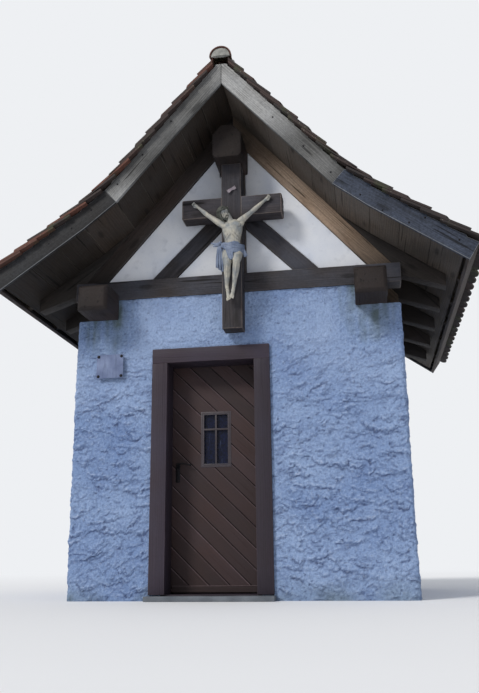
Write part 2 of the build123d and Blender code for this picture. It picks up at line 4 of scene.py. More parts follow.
import bmesh
import bpy
import numpy
from mathutils import Matrix, Vector, noise


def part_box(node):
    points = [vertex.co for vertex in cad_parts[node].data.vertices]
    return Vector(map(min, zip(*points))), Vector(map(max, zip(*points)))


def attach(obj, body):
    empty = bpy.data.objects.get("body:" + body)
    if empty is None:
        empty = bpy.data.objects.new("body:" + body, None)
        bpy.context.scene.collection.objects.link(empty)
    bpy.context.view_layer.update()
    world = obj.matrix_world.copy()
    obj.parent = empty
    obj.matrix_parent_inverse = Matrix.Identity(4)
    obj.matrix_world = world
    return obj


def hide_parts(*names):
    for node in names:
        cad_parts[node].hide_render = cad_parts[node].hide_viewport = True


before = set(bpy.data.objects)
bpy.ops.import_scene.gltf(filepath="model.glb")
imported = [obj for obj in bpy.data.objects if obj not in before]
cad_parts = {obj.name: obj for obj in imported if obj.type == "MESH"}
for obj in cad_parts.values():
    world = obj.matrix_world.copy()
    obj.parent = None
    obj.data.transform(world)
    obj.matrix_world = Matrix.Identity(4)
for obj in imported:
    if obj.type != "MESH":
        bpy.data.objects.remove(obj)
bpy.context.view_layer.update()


# Camera: low in front of the chapel and a little to the right of the door, at the eye of someone
# who stands below it and looks up at the gable.

camera_lens = bpy.data.cameras.new("camera")
camera_lens.lens = 39.92
camera = bpy.data.objects.new("camera", camera_lens)
bpy.context.scene.collection.objects.link(camera)
camera_turn = Matrix.Rotation(math.radians(9.3387), 4, "Z")
camera_tilt = Matrix.Rotation(math.radians(90 + 15.5866), 4, "X")
camera_lean = Matrix.Rotation(math.radians(-0.6249), 4, "Z")
camera.matrix_world = Matrix.Translation((1.12, -7.928, 0.317)) @ camera_turn @ camera_tilt @ camera_lean
bpy.context.scene.camera = camera
bpy.context.scene.view_settings.view_transform = "Standard"


# Studio: a pale even sky, a broad soft lamp high on the left, and a pale floor that fades into
# the backdrop far from the chapel.

def srgb(red, green, blue):
    """A colour as it shows on a screen, 0 to 255, as the renderer's own values."""
    shares = [value / 255 for value in (red, green, blue)]
    return (*[s / 12.92 if s <= 0.04045 else ((s + 0.055) / 1.055) ** 2.4 for s in shares], 1.0)


def add_node(tree, kind, inputs=None, **settings):
    """One node of a material. Each input is a value, or the socket that feeds it."""
    made = tree.nodes.new("ShaderNode" + kind)
    for name, value in settings.items():
        setattr(made, name, value)
    for place, value in (inputs or {}).items():
        if isinstance(value, bpy.types.NodeSocket):
            tree.links.new(value, made.inputs[place])
        else:
            made.inputs[place].default_value = value
    return made


def reckon(tree, operation, first, second=0.0):
    return add_node(tree, "Math", {0: first, 1: second}, operation=operation).outputs[0]


def times(tree, first, second):
    return reckon(tree, "MULTIPLY", first, second)


def blend_colours(tree, share, first, second):
    return add_node(tree, "Mix", {0: share, 6: first, 7: second}, data_type="RGBA").outputs[2]


def spread(tree, value, low, high, new_low=0.0, new_high=1.0):
    """A value between two limits, as a share from one new limit to the other."""
    places = {"Value": value, "From Min": low, "From Max": high, "To Min": new_low, "To Max": new_high}
    return add_node(tree, "MapRange", places, clamp=True).outputs[0]


def empty_material(name):
    """A material with one shader, its node tree, and each point's place on its object."""
    material = bpy.data.materials.new(name)
    material.use_nodes = True
    tree = material.node_tree
    return material, tree, add_node(tree, "TexCoord").outputs["Object"]


backdrop_colour = srgb(238, 240, 243)
world = bpy.data.worlds.new("studio")
bpy.context.scene.world = world
world.use_nodes = True
sky = world.node_tree
sky_light = sky.nodes["Background"]
sky_light.inputs["Color"].default_value = srgb(238, 241, 247)
sky_light.inputs["Strength"].default_value = 0.70
sky_seen = add_node(sky, "Background", {"Color": backdrop_colour, "Strength": 1.0})
sky_rays = add_node(sky, "LightPath")
seen = reckon(sky, "MAXIMUM", sky_rays.outputs["Is Camera Ray"], sky_rays.outputs["Is Transmission Ray"])
sky_mix = add_node(sky, "MixShader", {0: seen, 1: sky_light.outputs[0], 2: sky_seen.outputs[0]})
sky.links.new(sky_mix.outputs[0], sky.nodes["World Output"].inputs["Surface"])

key_lamp = bpy.data.lights.new("key_lamp", "SUN")
key_lamp.energy = 2.1
key_lamp.angle = math.radians(16)
key_lamp.color = (1.0, 0.965, 0.91)
key = bpy.data.objects.new("key_lamp", key_lamp)
bpy.context.scene.collection.objects.link(key)
key.rotation_euler = Vector((-0.60, -0.74, 0.70)).to_track_quat("Z", "Y").to_euler()

floor_radius = 40.0
bpy.ops.mesh.primitive_circle_add(vertices=64, radius=floor_radius, fill_type="NGON")
floor = bpy.context.object
floor.name = "studio_floor"
floor_finish, tree, where = empty_material("studio floor")
shader = tree.nodes["Principled BSDF"]
shader.inputs["Base Color"].default_value = srgb(232, 233, 235)
shader.inputs["Roughness"].default_value = 0.9
far_off = add_node(tree, "VectorMath", {0: where}, operation="LENGTH")
fade = spread(tree, far_off.outputs["Value"], 5.0, 16.0)
fade = times(tree, fade, add_node(tree, "LightPath").outputs["Is Camera Ray"])
haze = add_node(tree, "Emission", {"Color": backdrop_colour, "Strength": 1.0})
floor_mix = add_node(tree, "MixShader", {0: fade, 1: shader.outputs[0], 2: haze.outputs[0]})
tree.links.new(floor_mix.outputs[0], tree.nodes["Material Output"].inputs["Surface"])
floor.data.materials.append(floor_finish)


# Walls: rubble stone under a thick coat of lime render, thrown on by hand in bands that end in
# ragged lips, limewashed, and green with algae under the purlin ends.

wall_half_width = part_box("right_wall")[1].x
wall_face = -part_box("front_wall_left")[0].y
wall_under_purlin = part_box("right_wall")[1].z
wall_under_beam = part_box("front_wall_left")[1].z
purlin_inner_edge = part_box("right_wall_purlin")[0].x
wall_thick = wall_half_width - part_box("right_wall")[0].x
doorway_low, doorway_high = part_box("front_wall_over_door")
coat_row = 0.0101
coat_corner = 0.035
coat_girth = 4 * (wall_half_width + wall_face)


def clamp(value, low=0.0, high=1.0):
    return max(low, min(high, value))


def coat_noise(around, up, fine_around, fine_up, seed):
    """Smooth noise over the four walls, with no seam where the last wall meets the first."""
    reach = coat_girth / math.tau
    found = numpy.empty(len(around))
    for number in range(len(around)):
        angle = around[number] / reach
        place = (fine_around * reach * math.cos(angle), fine_around * reach * math.sin(angle),
                 fine_up * up[number])
        found[number] = noise.noise((place[0] + seed, place[1] - seed, place[2] + 2 * seed))
    return found


def throw_dabs(around, up):
    """The dabs of thrown render: how far they stand out, and the painted shade under their lower lips.

    Each dab thins out upward and ends below in a ragged lip, and later dabs lie over earlier ones.
    """
    dice = random.Random(5)
    order = numpy.argsort(up)
    around, up = around[order], up[order]
    ragged = 0.34 * coat_noise(around, up, 13, 15, 3.0) + 0.22 * coat_noise(around, up, 36, 38, 4.0)
    lean = 0.5 * coat_noise(around, up, 1.1, 1.3, 6.0)
    thick = numpy.zeros(len(around))
    shade = numpy.zeros(len(around))
    for number in range(15000):
        middle, height = dice.uniform(0, coat_girth), dice.uniform(-0.02, 2.72)
        half_wide, high = dice.uniform(0.035, 0.15), dice.uniform(0.045, 0.11)
        turn = dice.gauss(0, 0.26)
        curve = dice.uniform(-0.25, 0.75)
        strength = dice.uniform(0.25, 1.0) ** 1.4 * (1 - 0.62 * clamp((height - 1.85) / 0.5))
        if number % 11 < 8:
            half_wide, high = dice.uniform(0.013, 0.05), dice.uniform(0.020, 0.05)
            turn, strength = turn * 2, strength * 0.75
        window = high * 1.5 + half_wide * abs(turn) + 0.01
        first, last = numpy.searchsorted(up, (height - window, height + window))
        if last <= first:
            continue
        beside = (around[first:last] - middle + coat_girth * 1.5) % coat_girth - coat_girth / 2
        near = numpy.nonzero(numpy.abs(beside) < half_wide * 1.3)[0]
        beside = beside[near]
        near = near + first
        above = up[near] - height
        slant = turn + lean[near]
        across = (beside + above * slant) / half_wide
        rise = (above - beside * slant) / high + ragged[near] * 0.9
        edge = -curve * numpy.maximum(1 - across ** 2, 0)
        over = (rise - edge) * high
        reach = numpy.maximum(1 - numpy.abs(across) ** 3, 0)
        body = numpy.clip(over / 0.010 + 0.5, 0, 1) * numpy.clip(1 - (rise - edge), 0, 1) ** 1.3
        thick[near] += strength * reach * body * 0.0088
        # painted shade under each lip and, along its rim, a painted highlight as negative shade
        under = numpy.clip(1 - numpy.abs(over + 0.009) / 0.012, 0, 1) * reach * strength
        rim = numpy.clip(1 - numpy.abs(over - 0.007) / 0.010, 0, 1) * reach * strength
        shade[near] = numpy.where(under > 0, numpy.maximum(shade[near], under), shade[near] - rim * 0.5)
    back = numpy.empty(len(order), dtype=numpy.int64)
    back[order] = numpy.arange(len(order))
    return thick[back], shade[back]


def coat_relief(around, up):
    """How far the render stands out all over, and the painted shade and highlight over it."""
    around, up = numpy.array(around), numpy.array(up)
    thick, shade = throw_dabs(around, up)
    lumps = 0.0042 * coat_noise(around, up, 9, 12, 7.0) + 0.0036 * coat_noise(around, up, 26, 32, 8.0)
    lumps += 0.0032 * coat_noise(around, up, 58, 66, 9.0)
    bulge = 0.007 * coat_noise(around, up, 1.1, 1.3, 10.0)
    brushed = numpy.clip((up - 2.0) / 0.35, 0, 1) * 0.0032 * coat_noise(around, up, 46, 5, 11.0)
    lapped = numpy.clip((up - 2.600) / 0.05, 0, 1) * (0.011 + 0.016 * coat_noise(around, up, 7, 3, 12.0))
    pits = numpy.clip(-coat_noise(around, up, 42, 46, 13.0) * 3 - 1.15, 0, 1)
    corner = numpy.abs((around + coat_girth / 8) % (coat_girth / 4) - coat_girth / 8)
    thick = thick * (0.55 + 0.45 * numpy.clip(numpy.abs(coat_girth / 8 - corner) / 0.08, 0, 1))
    relief = thick + lumps + bulge + brushed + numpy.clip(lapped, 0, 0.028) - 0.004 * pits
    # painted shade under the lips, in the pits and in the dips between lumps; painted highlight on the rims
    return relief, numpy.clip(shade * 1.15 + pits * 0.7 + numpy.clip(-lumps * 110 - 0.25, 0, 0.6), -1, 1)


def coat_damp_and_painted_light(x, y, z):
    """How green the render is under the purlin ends and at the foot, or, below nought, the painted light."""
    side = abs(abs(x) - 1.2)
    under = clamp((z - 2.02) / 0.46) * clamp(1.3 - side / 0.26)
    streak = 0.6 + 0.9 * noise.noise((x * 26, y * 26, z * 1.8))
    foot = clamp(1 - z / 0.22) * 0.6 * clamp(0.5 + noise.noise((x * 3, y * 3, z * 6)))
    # painted light: a pale patch high on the wall, where sunlight fell
    painted_light_patch = clamp((z - 1.55) / 0.7) * clamp(0.55 + 0.9 * noise.noise((x * 1.3 + 4.1, y * 1.3, z * 1.1)))
    return clamp(max(under * streak, foot)) - 0.8 * painted_light_patch * clamp(1 - 3 * max(under, foot))


def coat_sheet(name, wide, high, columns):
    """A flat sheet of small faces from the corner at the origin, along X and up Z."""
    rows = round(high / coat_row)
    bpy.ops.mesh.primitive_grid_add(x_subdivisions=columns, y_subdivisions=rows, size=1,
                                    location=(wide / 2, 0, high / 2), rotation=(math.pi / 2, 0, 0))
    sheet = bpy.context.object
    sheet.name = name
    sheet.data.name = name
    sheet.scale = (wide, high, 1)
    bpy.ops.object.transform_apply(location=True, rotation=True, scale=True)
    return sheet


def select_faces(piece, test):
    """Selects the faces whose middle passes the test, in edit mode."""
    made = bmesh.from_edit_mesh(piece.data)
    made.select_mode = {"FACE"}
    bpy.context.tool_settings.mesh_select_mode = (False, False, True)
    for face in made.faces:
        face.select_set(bool(test(face)))
    made.select_flush_mode()
    bmesh.update_edit_mesh(piece.data)


def select_open_edges(piece):
    made = bmesh.from_edit_mesh(piece.data)
    made.select_mode = {"EDGE"}
    bpy.context.tool_settings.mesh_select_mode = (False, True, False)
    for edge in made.edges:
        edge.select_set(edge.is_boundary)
    made.select_flush_mode()
    bmesh.update_edit_mesh(piece.data)


def throw_coat(piece, place):
    """Bends a flat sheet and its returns round the corners, and raises the render on it.

    place turns a point of the flat piece into the point on the wall, the way out of the wall
    there, and how far round the chapel it lies.
    """
    mesh = piece.data
    painted_shading = mesh.attributes.new("painted_shading", "FLOAT", "POINT")
    damp_and_painted_light = mesh.attributes.new("damp_and_painted_light", "FLOAT", "POINT")
    coated = []
    for vertex in mesh.vertices:
        spot, outward, around = place(vertex.co)
        vertex.co = spot
        if outward is not None:
            coated.append((vertex, spot, outward, around))
    # depth holds the painted shade and highlight, kept point by point for the finish
    relief, depth = coat_relief([item[3] for item in coated], [item[1].z for item in coated])
    for (vertex, spot, outward, around), height, shade in zip(coated, relief, depth):
        near_door = max(abs(spot.x - (doorway_low.x + doorway_high.x) / 2) - 0.53, spot.z - 2.2)
        if spot.y < -wall_face + 0.01 and near_door < 0.06:
            height *= clamp(near_door / 0.06, 0.35, 1)
        painted_shading.data[vertex.index].value = shade
        damp_and_painted_light.data[vertex.index].value = coat_damp_and_painted_light(spot.x, spot.y, spot.z)
        vertex.co = spot + outward * height


def round_corner(along, deep, half_length):
    """A place on a wall with eased corners: how far along it and in from its face, and its outward way.

    along runs from minus to plus half_length between the corners, and deep is the distance in
    from the face of a point on a return.
    """
    side = math.copysign(1, along)
    if deep > 0:
        share = clamp(deep / coat_corner)
        angle = math.radians(45 + 45 * share)
    else:
        share = clamp((half_length - abs(along)) / coat_corner)
        angle = math.radians(45 * (1 - share))
    if share >= 1:
        if deep > 0:
            return side * half_length, deep, Vector((side, 0, 0))
        return along, 0.0, Vector((0, -1, 0))
    centre = half_length - coat_corner
    out = Vector((side * math.sin(angle), -math.cos(angle), 0))
    return side * (centre + coat_corner * math.sin(angle)), coat_corner * (1 - math.cos(angle)), out


def fill_inner_face(piece):
    """Closes a wall behind, with a face that takes the inner finish."""
    bpy.ops.mesh.fill()
    bpy.ops.object.mode_set(mode="OBJECT")
    for face in piece.data.polygons:
        face.material_index = 1 if face.select else 0


def gable_wall(name, columns, is_front):
    """A front or back wall, seen from its own side, with its returns as far as the side walls."""
    wide = 2 * wall_half_width
    high = wall_under_beam
    piece = coat_sheet(name, wide, high, columns)
    rows = round(high / coat_row)
    purlin_row = round(wall_under_purlin / coat_row) * high / rows
    bpy.ops.object.mode_set(mode="EDIT")

    def cut_away(face):
        middle = face.calc_center_median()
        x = middle.x - wall_half_width
        over_purlin = abs(x) > purlin_inner_edge and middle.z > purlin_row
        in_doorway = doorway_low.x < x < doorway_high.x and middle.z < doorway_low.z
        return over_purlin or (is_front and in_doorway)

    select_faces(piece, cut_away)
    bpy.ops.mesh.delete(type="FACE")
    select_open_edges(piece)
    for step in range(24):
        bpy.ops.mesh.extrude_region_move(TRANSFORM_OT_translate={"value": (0, wall_thick / 24, 0)})
    fill_inner_face(piece)

    def place(flat):
        x = flat.x - wall_half_width
        z = flat.z
        if abs(z - purlin_row) < coat_row / 4 and abs(x) > purlin_inner_edge - coat_row:
            z = wall_under_purlin
        on_return = abs(abs(x) - wall_half_width) < 1e-5
        if flat.y > 1e-5 and not on_return:
            return Vector((x, flat.y - wall_face, z)), None, None
        spot_x, deep, out = round_corner(x, flat.y if on_return else 0.0, wall_half_width)
        spot = Vector((spot_x, deep - wall_face, z))
        around = math.copysign(abs(x) + flat.y, x)
        return spot, out, around if is_front else coat_girth / 2 + around

    throw_coat(piece, place)
    return piece


def side_wall(name, columns, side):
    """A side wall: one long sheet closed by its inner face. It is made on the right."""
    long = 2 * (wall_face - wall_thick)
    piece = coat_sheet(name, long, wall_under_purlin, columns)
    bpy.ops.object.mode_set(mode="EDIT")
    select_open_edges(piece)
    bpy.ops.mesh.extrude_region_move(TRANSFORM_OT_translate={"value": (0, wall_thick, 0)})
    fill_inner_face(piece)

    def place(flat):
        y = flat.x - long / 2
        if flat.y > 1e-5:
            return Vector((wall_half_width - flat.y, y, flat.z)), None, None
        around = side * (wall_half_width + wall_face + y)
        return Vector((wall_half_width, y, flat.z)), Vector((1, 0, 0)), around

    throw_coat(piece, place)
    return piece


def noise_map(tree, place, scale, detail, roughness=0.5):
    inputs = {"Vector": place, "Scale": scale, "Detail": detail, "Roughness": roughness}
    return add_node(tree, "TexNoise", inputs).outputs[0]


def written(tree, name):
    """A value that was written point by point on the mesh."""
    return add_node(tree, "Attribute", attribute_name=name).outputs["Fac"]


def tint(tree, colour, value, low, high, most, other):
    """A colour turned toward another, by up to the share most, as a value goes from low to high."""
    return blend_colours(tree, spread(tree, value, low, high, 0, most), colour, other)


def finished(material, colour, roughness, height=None, strength=0.0, distance=0.0, shares=None):
    """Feeds a material's shader with its colour, its roughness and a relief."""
    tree = material.node_tree
    shader = tree.nodes["Principled BSDF"]
    tree.links.new(colour, shader.inputs["Base Color"])
    if isinstance(roughness, bpy.types.NodeSocket):
        tree.links.new(roughness, shader.inputs["Roughness"])
    else:
        shader.inputs["Roughness"].default_value = roughness
    if height:
        bump = add_node(tree, "Bump", {"Height": height, "Strength": strength, "Distance": distance})
        tree.links.new(bump.outputs[0], shader.inputs["Normal"])
    for name, value in (shares or {}).items():
        shader.inputs[name].default_value = value
    return material


def coat_finish():
    """Limewash on rough render, blue-grey as painted shade, painted shading at the lips, green algae."""
    material, tree, where = empty_material("lime render")
    cloud = noise_map(tree, where, 1.7, 5.0)
    blotch = noise_map(tree, where, 9.0, 6.0)
    grit = noise_map(tree, where, 95.0, 4.0)
    sand = noise_map(tree, where, 260.0, 2.0)
    # the white limewash and its tints are coloured blue-grey: painted shade of the open sky
    colour = blend_colours(tree, spread(tree, cloud, 0.3, 0.7), srgb(110, 136, 181), srgb(147, 170, 207))
    colour = tint(tree, colour, blotch, 0.55, 0.75, 0.35, srgb(92, 112, 158))
    painted_shading = written(tree, "painted_shading")
    # painted highlight on the lip rims, then painted shade under the lips, in the pits and in the dips
    colour = tint(tree, colour, painted_shading, 0, -0.5, 0.4, srgb(192, 204, 228))
    colour = tint(tree, colour, painted_shading, 0, 0.85, 0.8, srgb(46, 60, 98))
    pebble = noise_map(tree, where, 50.0, 3.0, 0.6)
    colour = tint(tree, colour, pebble, 0.50, 0.66, 0.34, srgb(70, 88, 130))
    colour = tint(tree, colour, pebble, 0.46, 0.34, 0.3, srgb(172, 186, 214))
    speck = spread(tree, grit, 0.64, 0.72, 0, 0.55)
    colour = blend_colours(tree, speck, colour, srgb(74, 88, 120))
    damp_and_painted_light = written(tree, "damp_and_painted_light")
    # painted light: the pale patch high on the wall
    colour = tint(tree, colour, damp_and_painted_light, 0, -1, 0.4, srgb(170, 188, 220))
    damp_and_painted_light = times(tree, damp_and_painted_light, spread(tree, blotch, 0.3, 0.6, 0.35, 1))
    colour = blend_colours(tree, damp_and_painted_light, colour, srgb(74, 88, 78))
    height = reckon(tree, "ADD", grit, times(tree, sand, 0.5))
    height = reckon(tree, "SUBTRACT", height, times(tree, pebble, 1.6))
    return finished(material, colour, 0.92, height, 0.9, 0.010)


def plaster_finish(name, low, high):
    """Fine lime plaster rubbed smooth, clouded and a little gritty."""
    material, tree, where = empty_material(name)
    cloud = noise_map(tree, where, 2.4, 6.0)
    trowel = noise_map(tree, where, 11.0, 5.0)
    grit = noise_map(tree, where, 170.0, 3.0)
    colour = blend_colours(tree, spread(tree, cloud, 0.35, 0.68), low, high)
    colour = tint(tree, colour, trowel, 0.56, 0.74, 0.3, srgb(150, 156, 170))
    colour = tint(tree, colour, grit, 0.68, 0.74, 0.5, srgb(120, 120, 126))
    height = reckon(tree, "ADD", trowel, times(tree, grit, 0.3))
    return finished(material, colour, 0.88, height, 0.6, 0.004)


lime_render = coat_finish()
inner_limewash = plaster_finish("inner limewash", srgb(176, 180, 186), srgb(204, 205, 204))
front_wall = gable_wall("front_wall_render", 292, True)
back_wall = gable_wall("back_wall_render", 240, False)
back_wall.data.transform(Matrix.Rotation(math.pi, 4, "Z"))
right_wall = side_wall("right_wall_render", 160, 1)
left_wall = side_wall("left_wall_render", 160, -1)
left_wall.data.transform(Matrix.Scale(-1, 4, (1, 0, 0)))


def pick(piece):
    """Makes a piece the only one selected and the active one."""
    bpy.ops.object.select_all(action="DESELECT")
    piece.select_set(True)
    bpy.context.view_layer.objects.active = piece


def face_outward(piece, merge=0.0):
    """Merges the points that lie within a distance of each other, and turns all faces outward."""
    pick(piece)
    bpy.ops.object.mode_set(mode="EDIT")
    bpy.ops.mesh.select_all(action="SELECT")
    if merge:
        bpy.ops.mesh.remove_doubles(threshold=merge)
    bpy.ops.mesh.normals_make_consistent(inside=False)
    bpy.ops.object.mode_set(mode="OBJECT")


def give(piece, *materials):
    for material in materials:
        piece.data.materials.append(material)


for wall, covered in ((front_wall, ["front_wall_left", "front_wall_right", "front_wall_over_door"]),
                      (back_wall, ["back_wall"]), (right_wall, ["right_wall"]), (left_wall, ["left_wall"])):
    give(wall, lime_render, inner_limewash)
    face_outward(wall)
    bpy.ops.object.shade_smooth_by_angle(angle=math.radians(50))
    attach(wall, "chapel")
    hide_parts(*covered)


# Purlins, tie beams, posts and braces: softwood timbers squared with the axe and stained dark. Posts
# and braces are tenoned into the beams, and on all but the purlins the arrises are worn back to wood.

def stretch_place(tree, place, shares):
    return add_node(tree, "VectorMath", {0: place, 1: shares}, operation="MULTIPLY").outputs[0]


def cell_map(tree, place, scale):
    """How far each place lies from the middle of its cell, over scattered cells."""
    return add_node(tree, "TexVoronoi", {"Vector": place, "Scale": scale}).outputs["Distance"]


def wood_grain_group():
    """Grain of a piece of wood whose Place runs along the grain in X and across it in Y and Z."""
    group = bpy.data.node_groups.new("wood_grain", "ShaderNodeTree")
    group.interface.new_socket("Place", in_out="INPUT", socket_type="NodeSocketVector")
    width = group.interface.new_socket("Ring Width", in_out="INPUT", socket_type="NodeSocketFloat")
    width.default_value = 0.012
    for name in ("Rings", "Streaks", "Checks", "Knots", "Height"):
        group.interface.new_socket(name, in_out="OUTPUT", socket_type="NodeSocketFloat")
    start = group.nodes.new("NodeGroupInput")
    end = group.nodes.new("NodeGroupOutput")

    def stretched(along, across):
        return stretch_place(group, start.outputs["Place"], (along, across, across))

    wander = noise_map(group, stretched(0.8, 4.0), 1.0, 3.0)
    apart = add_node(group, "SeparateXYZ", {0: start.outputs["Place"]})
    side = reckon(group, "ADD", apart.outputs["Y"], 0.021)
    rise = reckon(group, "ADD", apart.outputs["Z"], -0.034)
    flat = add_node(group, "CombineXYZ", {"X": side, "Y": rise})
    radius = add_node(group, "VectorMath", {0: flat.outputs[0]}, operation="LENGTH").outputs["Value"]
    radius = reckon(group, "ADD", radius, times(group, wander, 0.09))
    turns = reckon(group, "DIVIDE", radius, start.outputs["Ring Width"])
    rings = reckon(group, "SINE", times(group, turns, math.tau))
    rings = spread(group, rings, -1.0, 1.0)
    streaks = noise_map(group, stretched(2.2, 75.0), 1.0, 6.0, 0.62)
    streaks = spread(group, streaks, 0.3, 0.7)
    splits = noise_map(group, stretched(1.1, 38.0), 1.0, 2.0)
    checks = spread(group, splits, 0.655, 0.69)
    knots = cell_map(group, stretched(2.3, 7.0), 1.0)
    knots = spread(group, knots, 0.1, 0.2, 1.0, 0.0)
    height = reckon(group, "ADD", times(group, rings, 0.25), streaks)
    height = reckon(group, "SUBTRACT", height, times(group, checks, 1.6))
    for name, value in (("Rings", rings), ("Streaks", streaks), ("Checks", checks), ("Knots", knots),
                        ("Height", height)):
        group.links.new(value, end.inputs[name])
    return group


wood_grain = wood_grain_group()


def wood_finish(name, dark, light, grey, greyness=0.35, ring_width=0.012, relief=0.0025, roughness=0.72,
                flaws=1.0, mottle=0.16):
    """A wood's colour between a dark and a light shade along its grain, greyed by the weather.

    Its Value falls to a fifth where the painted shade written on its points is 1.
    """
    material, tree, where = empty_material(name)
    place = add_node(tree, "Attribute", attribute_name="grain").outputs["Vector"]
    grain = add_node(tree, "Group", node_tree=wood_grain)
    tree.links.new(place, grain.inputs["Place"])
    grain.inputs["Ring Width"].default_value = ring_width
    cloud = noise_map(tree, where, 3.1, 5.0)
    share = reckon(tree, "ADD", times(tree, grain.outputs["Streaks"], 0.6),
                   times(tree, grain.outputs["Rings"], 0.4))
    colour = blend_colours(tree, share, dark, light)
    colour = tint(tree, colour, cloud, 0.35, 0.7, greyness, grey)
    deep = tuple(channel * 0.25 for channel in dark[:3]) + (1.0,)
    colour = blend_colours(tree, times(tree, grain.outputs["Knots"], 0.6 * flaws), colour, deep)
    colour = blend_colours(tree, times(tree, grain.outputs["Checks"], 0.85 * flaws), colour, deep)
    tone = written(tree, "tone")
    value = spread(tree, tone, 0.0, 1.0, 0.74, 1.26)
    speck = noise_map(tree, where, 46.0, 6.0, 0.7)
    value = times(tree, value, spread(tree, speck, 0.34, 0.66, 1 - mottle, 1 + mottle))
    # painted shade darkens the wood, down to a fifth of its value
    painted_shade = written(tree, "painted_shade")
    value = times(tree, value, spread(tree, painted_shade, 0.0, 1.0, 1.0, 0.2))
    toned = add_node(tree, "HueSaturation", {"Color": colour, "Value": value}).outputs[0]
    rough = spread(tree, grain.outputs["Streaks"], 0.0, 1.0, roughness - 0.1, roughness + 0.12)
    return finished(material, toned, rough, grain.outputs["Height"], 0.8, relief, {"Specular IOR Level": 0.3})


def copy_nodes(name, *nodes):
    """A copy of CAD solids as one clean mesh with whole faces, free to be worked on."""
    bpy.ops.object.select_all(action="DESELECT")
    for node in nodes:
        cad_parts[node].select_set(True)
    bpy.context.view_layer.objects.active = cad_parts[nodes[0]]
    bpy.ops.object.duplicate()
    if len(nodes) > 1:
        bpy.ops.object.join()
    piece = bpy.context.object
    piece.parent = None
    for key in list(piece.keys()):
        del piece[key]
    piece.name = name
    piece.data.name = name
    piece.data.materials.clear()
    bpy.ops.object.mode_set(mode="EDIT")
    bpy.ops.mesh.select_all(action="SELECT")
    bpy.ops.mesh.customdata_custom_splitnormals_clear()
    bpy.ops.mesh.remove_doubles(threshold=0.00003)
    bpy.ops.mesh.dissolve_limited(angle_limit=math.radians(0.6))
    bpy.ops.object.mode_set(mode="OBJECT")
    return piece


def apply_modifier(piece, kind, **settings):
    bpy.context.view_layer.objects.active = piece
    added = piece.modifiers.new(kind.lower(), kind)
    for name, value in settings.items():
        setattr(added, name, value)
    bpy.ops.object.modifier_apply(modifier=added.name)


def ease_edges(piece, width, segments=2, worn=True, sharper_than=28):
    """Rounds the arrises; the rounding takes the piece's second finish where it is worn."""
    apply_modifier(piece, "BEVEL", width=width, segments=segments, limit_method="ANGLE",
                   angle_limit=math.radians(sharper_than), material=1 if worn else -1)


def loose_solids(made):
    """The vertices of each loose solid of a bmesh."""
    left = set(made.verts)
    while left:
        group = []
        todo = [left.pop()]
        while todo:
            vertex = todo.pop()
            group.append(vertex)
            for edge in vertex.link_edges:
                other = edge.other_vert(vertex)
                if other in left:
                    left.remove(other)
                    todo.append(other)
        yield sorted(group, key=lambda vertex: vertex.index)


def lay_grain(piece, seed, along=None, shade_of=None):
    """Each solid's grain runs along its longest edge, and each solid has its own tone and pattern.

    along gives the way of the grain from a solid's middle instead, and shade_of its tone.
    """
    dice = random.Random(seed)
    made = bmesh.new()
    made.from_mesh(piece.data)
    made.verts.ensure_lookup_table()
    grain = made.verts.layers.float_vector.get("grain") or made.verts.layers.float_vector.new("grain")
    tone = made.verts.layers.float.get("tone") or made.verts.layers.float.new("tone")
    for number, solid in enumerate(sorted(loose_solids(made), key=lambda group: group[0].index)):
        edges = {edge for vertex in solid for edge in vertex.link_edges}
        longest = max(edges, key=lambda edge: (round(edge.calc_length(), 4), -edge.index))
        middle = sum((vertex.co for vertex in solid), Vector()) / len(solid)
        way = Vector(along(middle)) if along else (longest.verts[1].co - longest.verts[0].co).normalized()
        level = Vector((1, 0, 0)) if abs(way.y) > 0.9 else Vector((0, 1, 0))
        up = way.cross(level).normalized()
        shift = Vector((dice.uniform(0, 9), dice.uniform(-0.02, 0.02), dice.uniform(-0.02, 0.02)))
        shade = shade_of(middle) if shade_of else dice.random()
        for vertex in solid:
            arm = vertex.co - middle
            vertex[grain] = Vector((arm.dot(way), arm.dot(level), arm.dot(up))) + shift
            vertex[tone] = shade
    made.to_mesh(piece.data)
    made.free()


def paint_shade(piece, how_shaded):
    """Writes the painted shade that darkens each place of a piece, from 0 to 1."""
    painted_shade = piece.data.attributes.new("painted_shade", "FLOAT", "POINT")
    for vertex in piece.data.vertices:
        wander = 0.3 * noise.noise(vertex.co * 4.3)
        painted_shade.data[vertex.index].value = clamp(how_shaded(vertex.co) + wander * clamp(how_shaded(vertex.co) * 4))


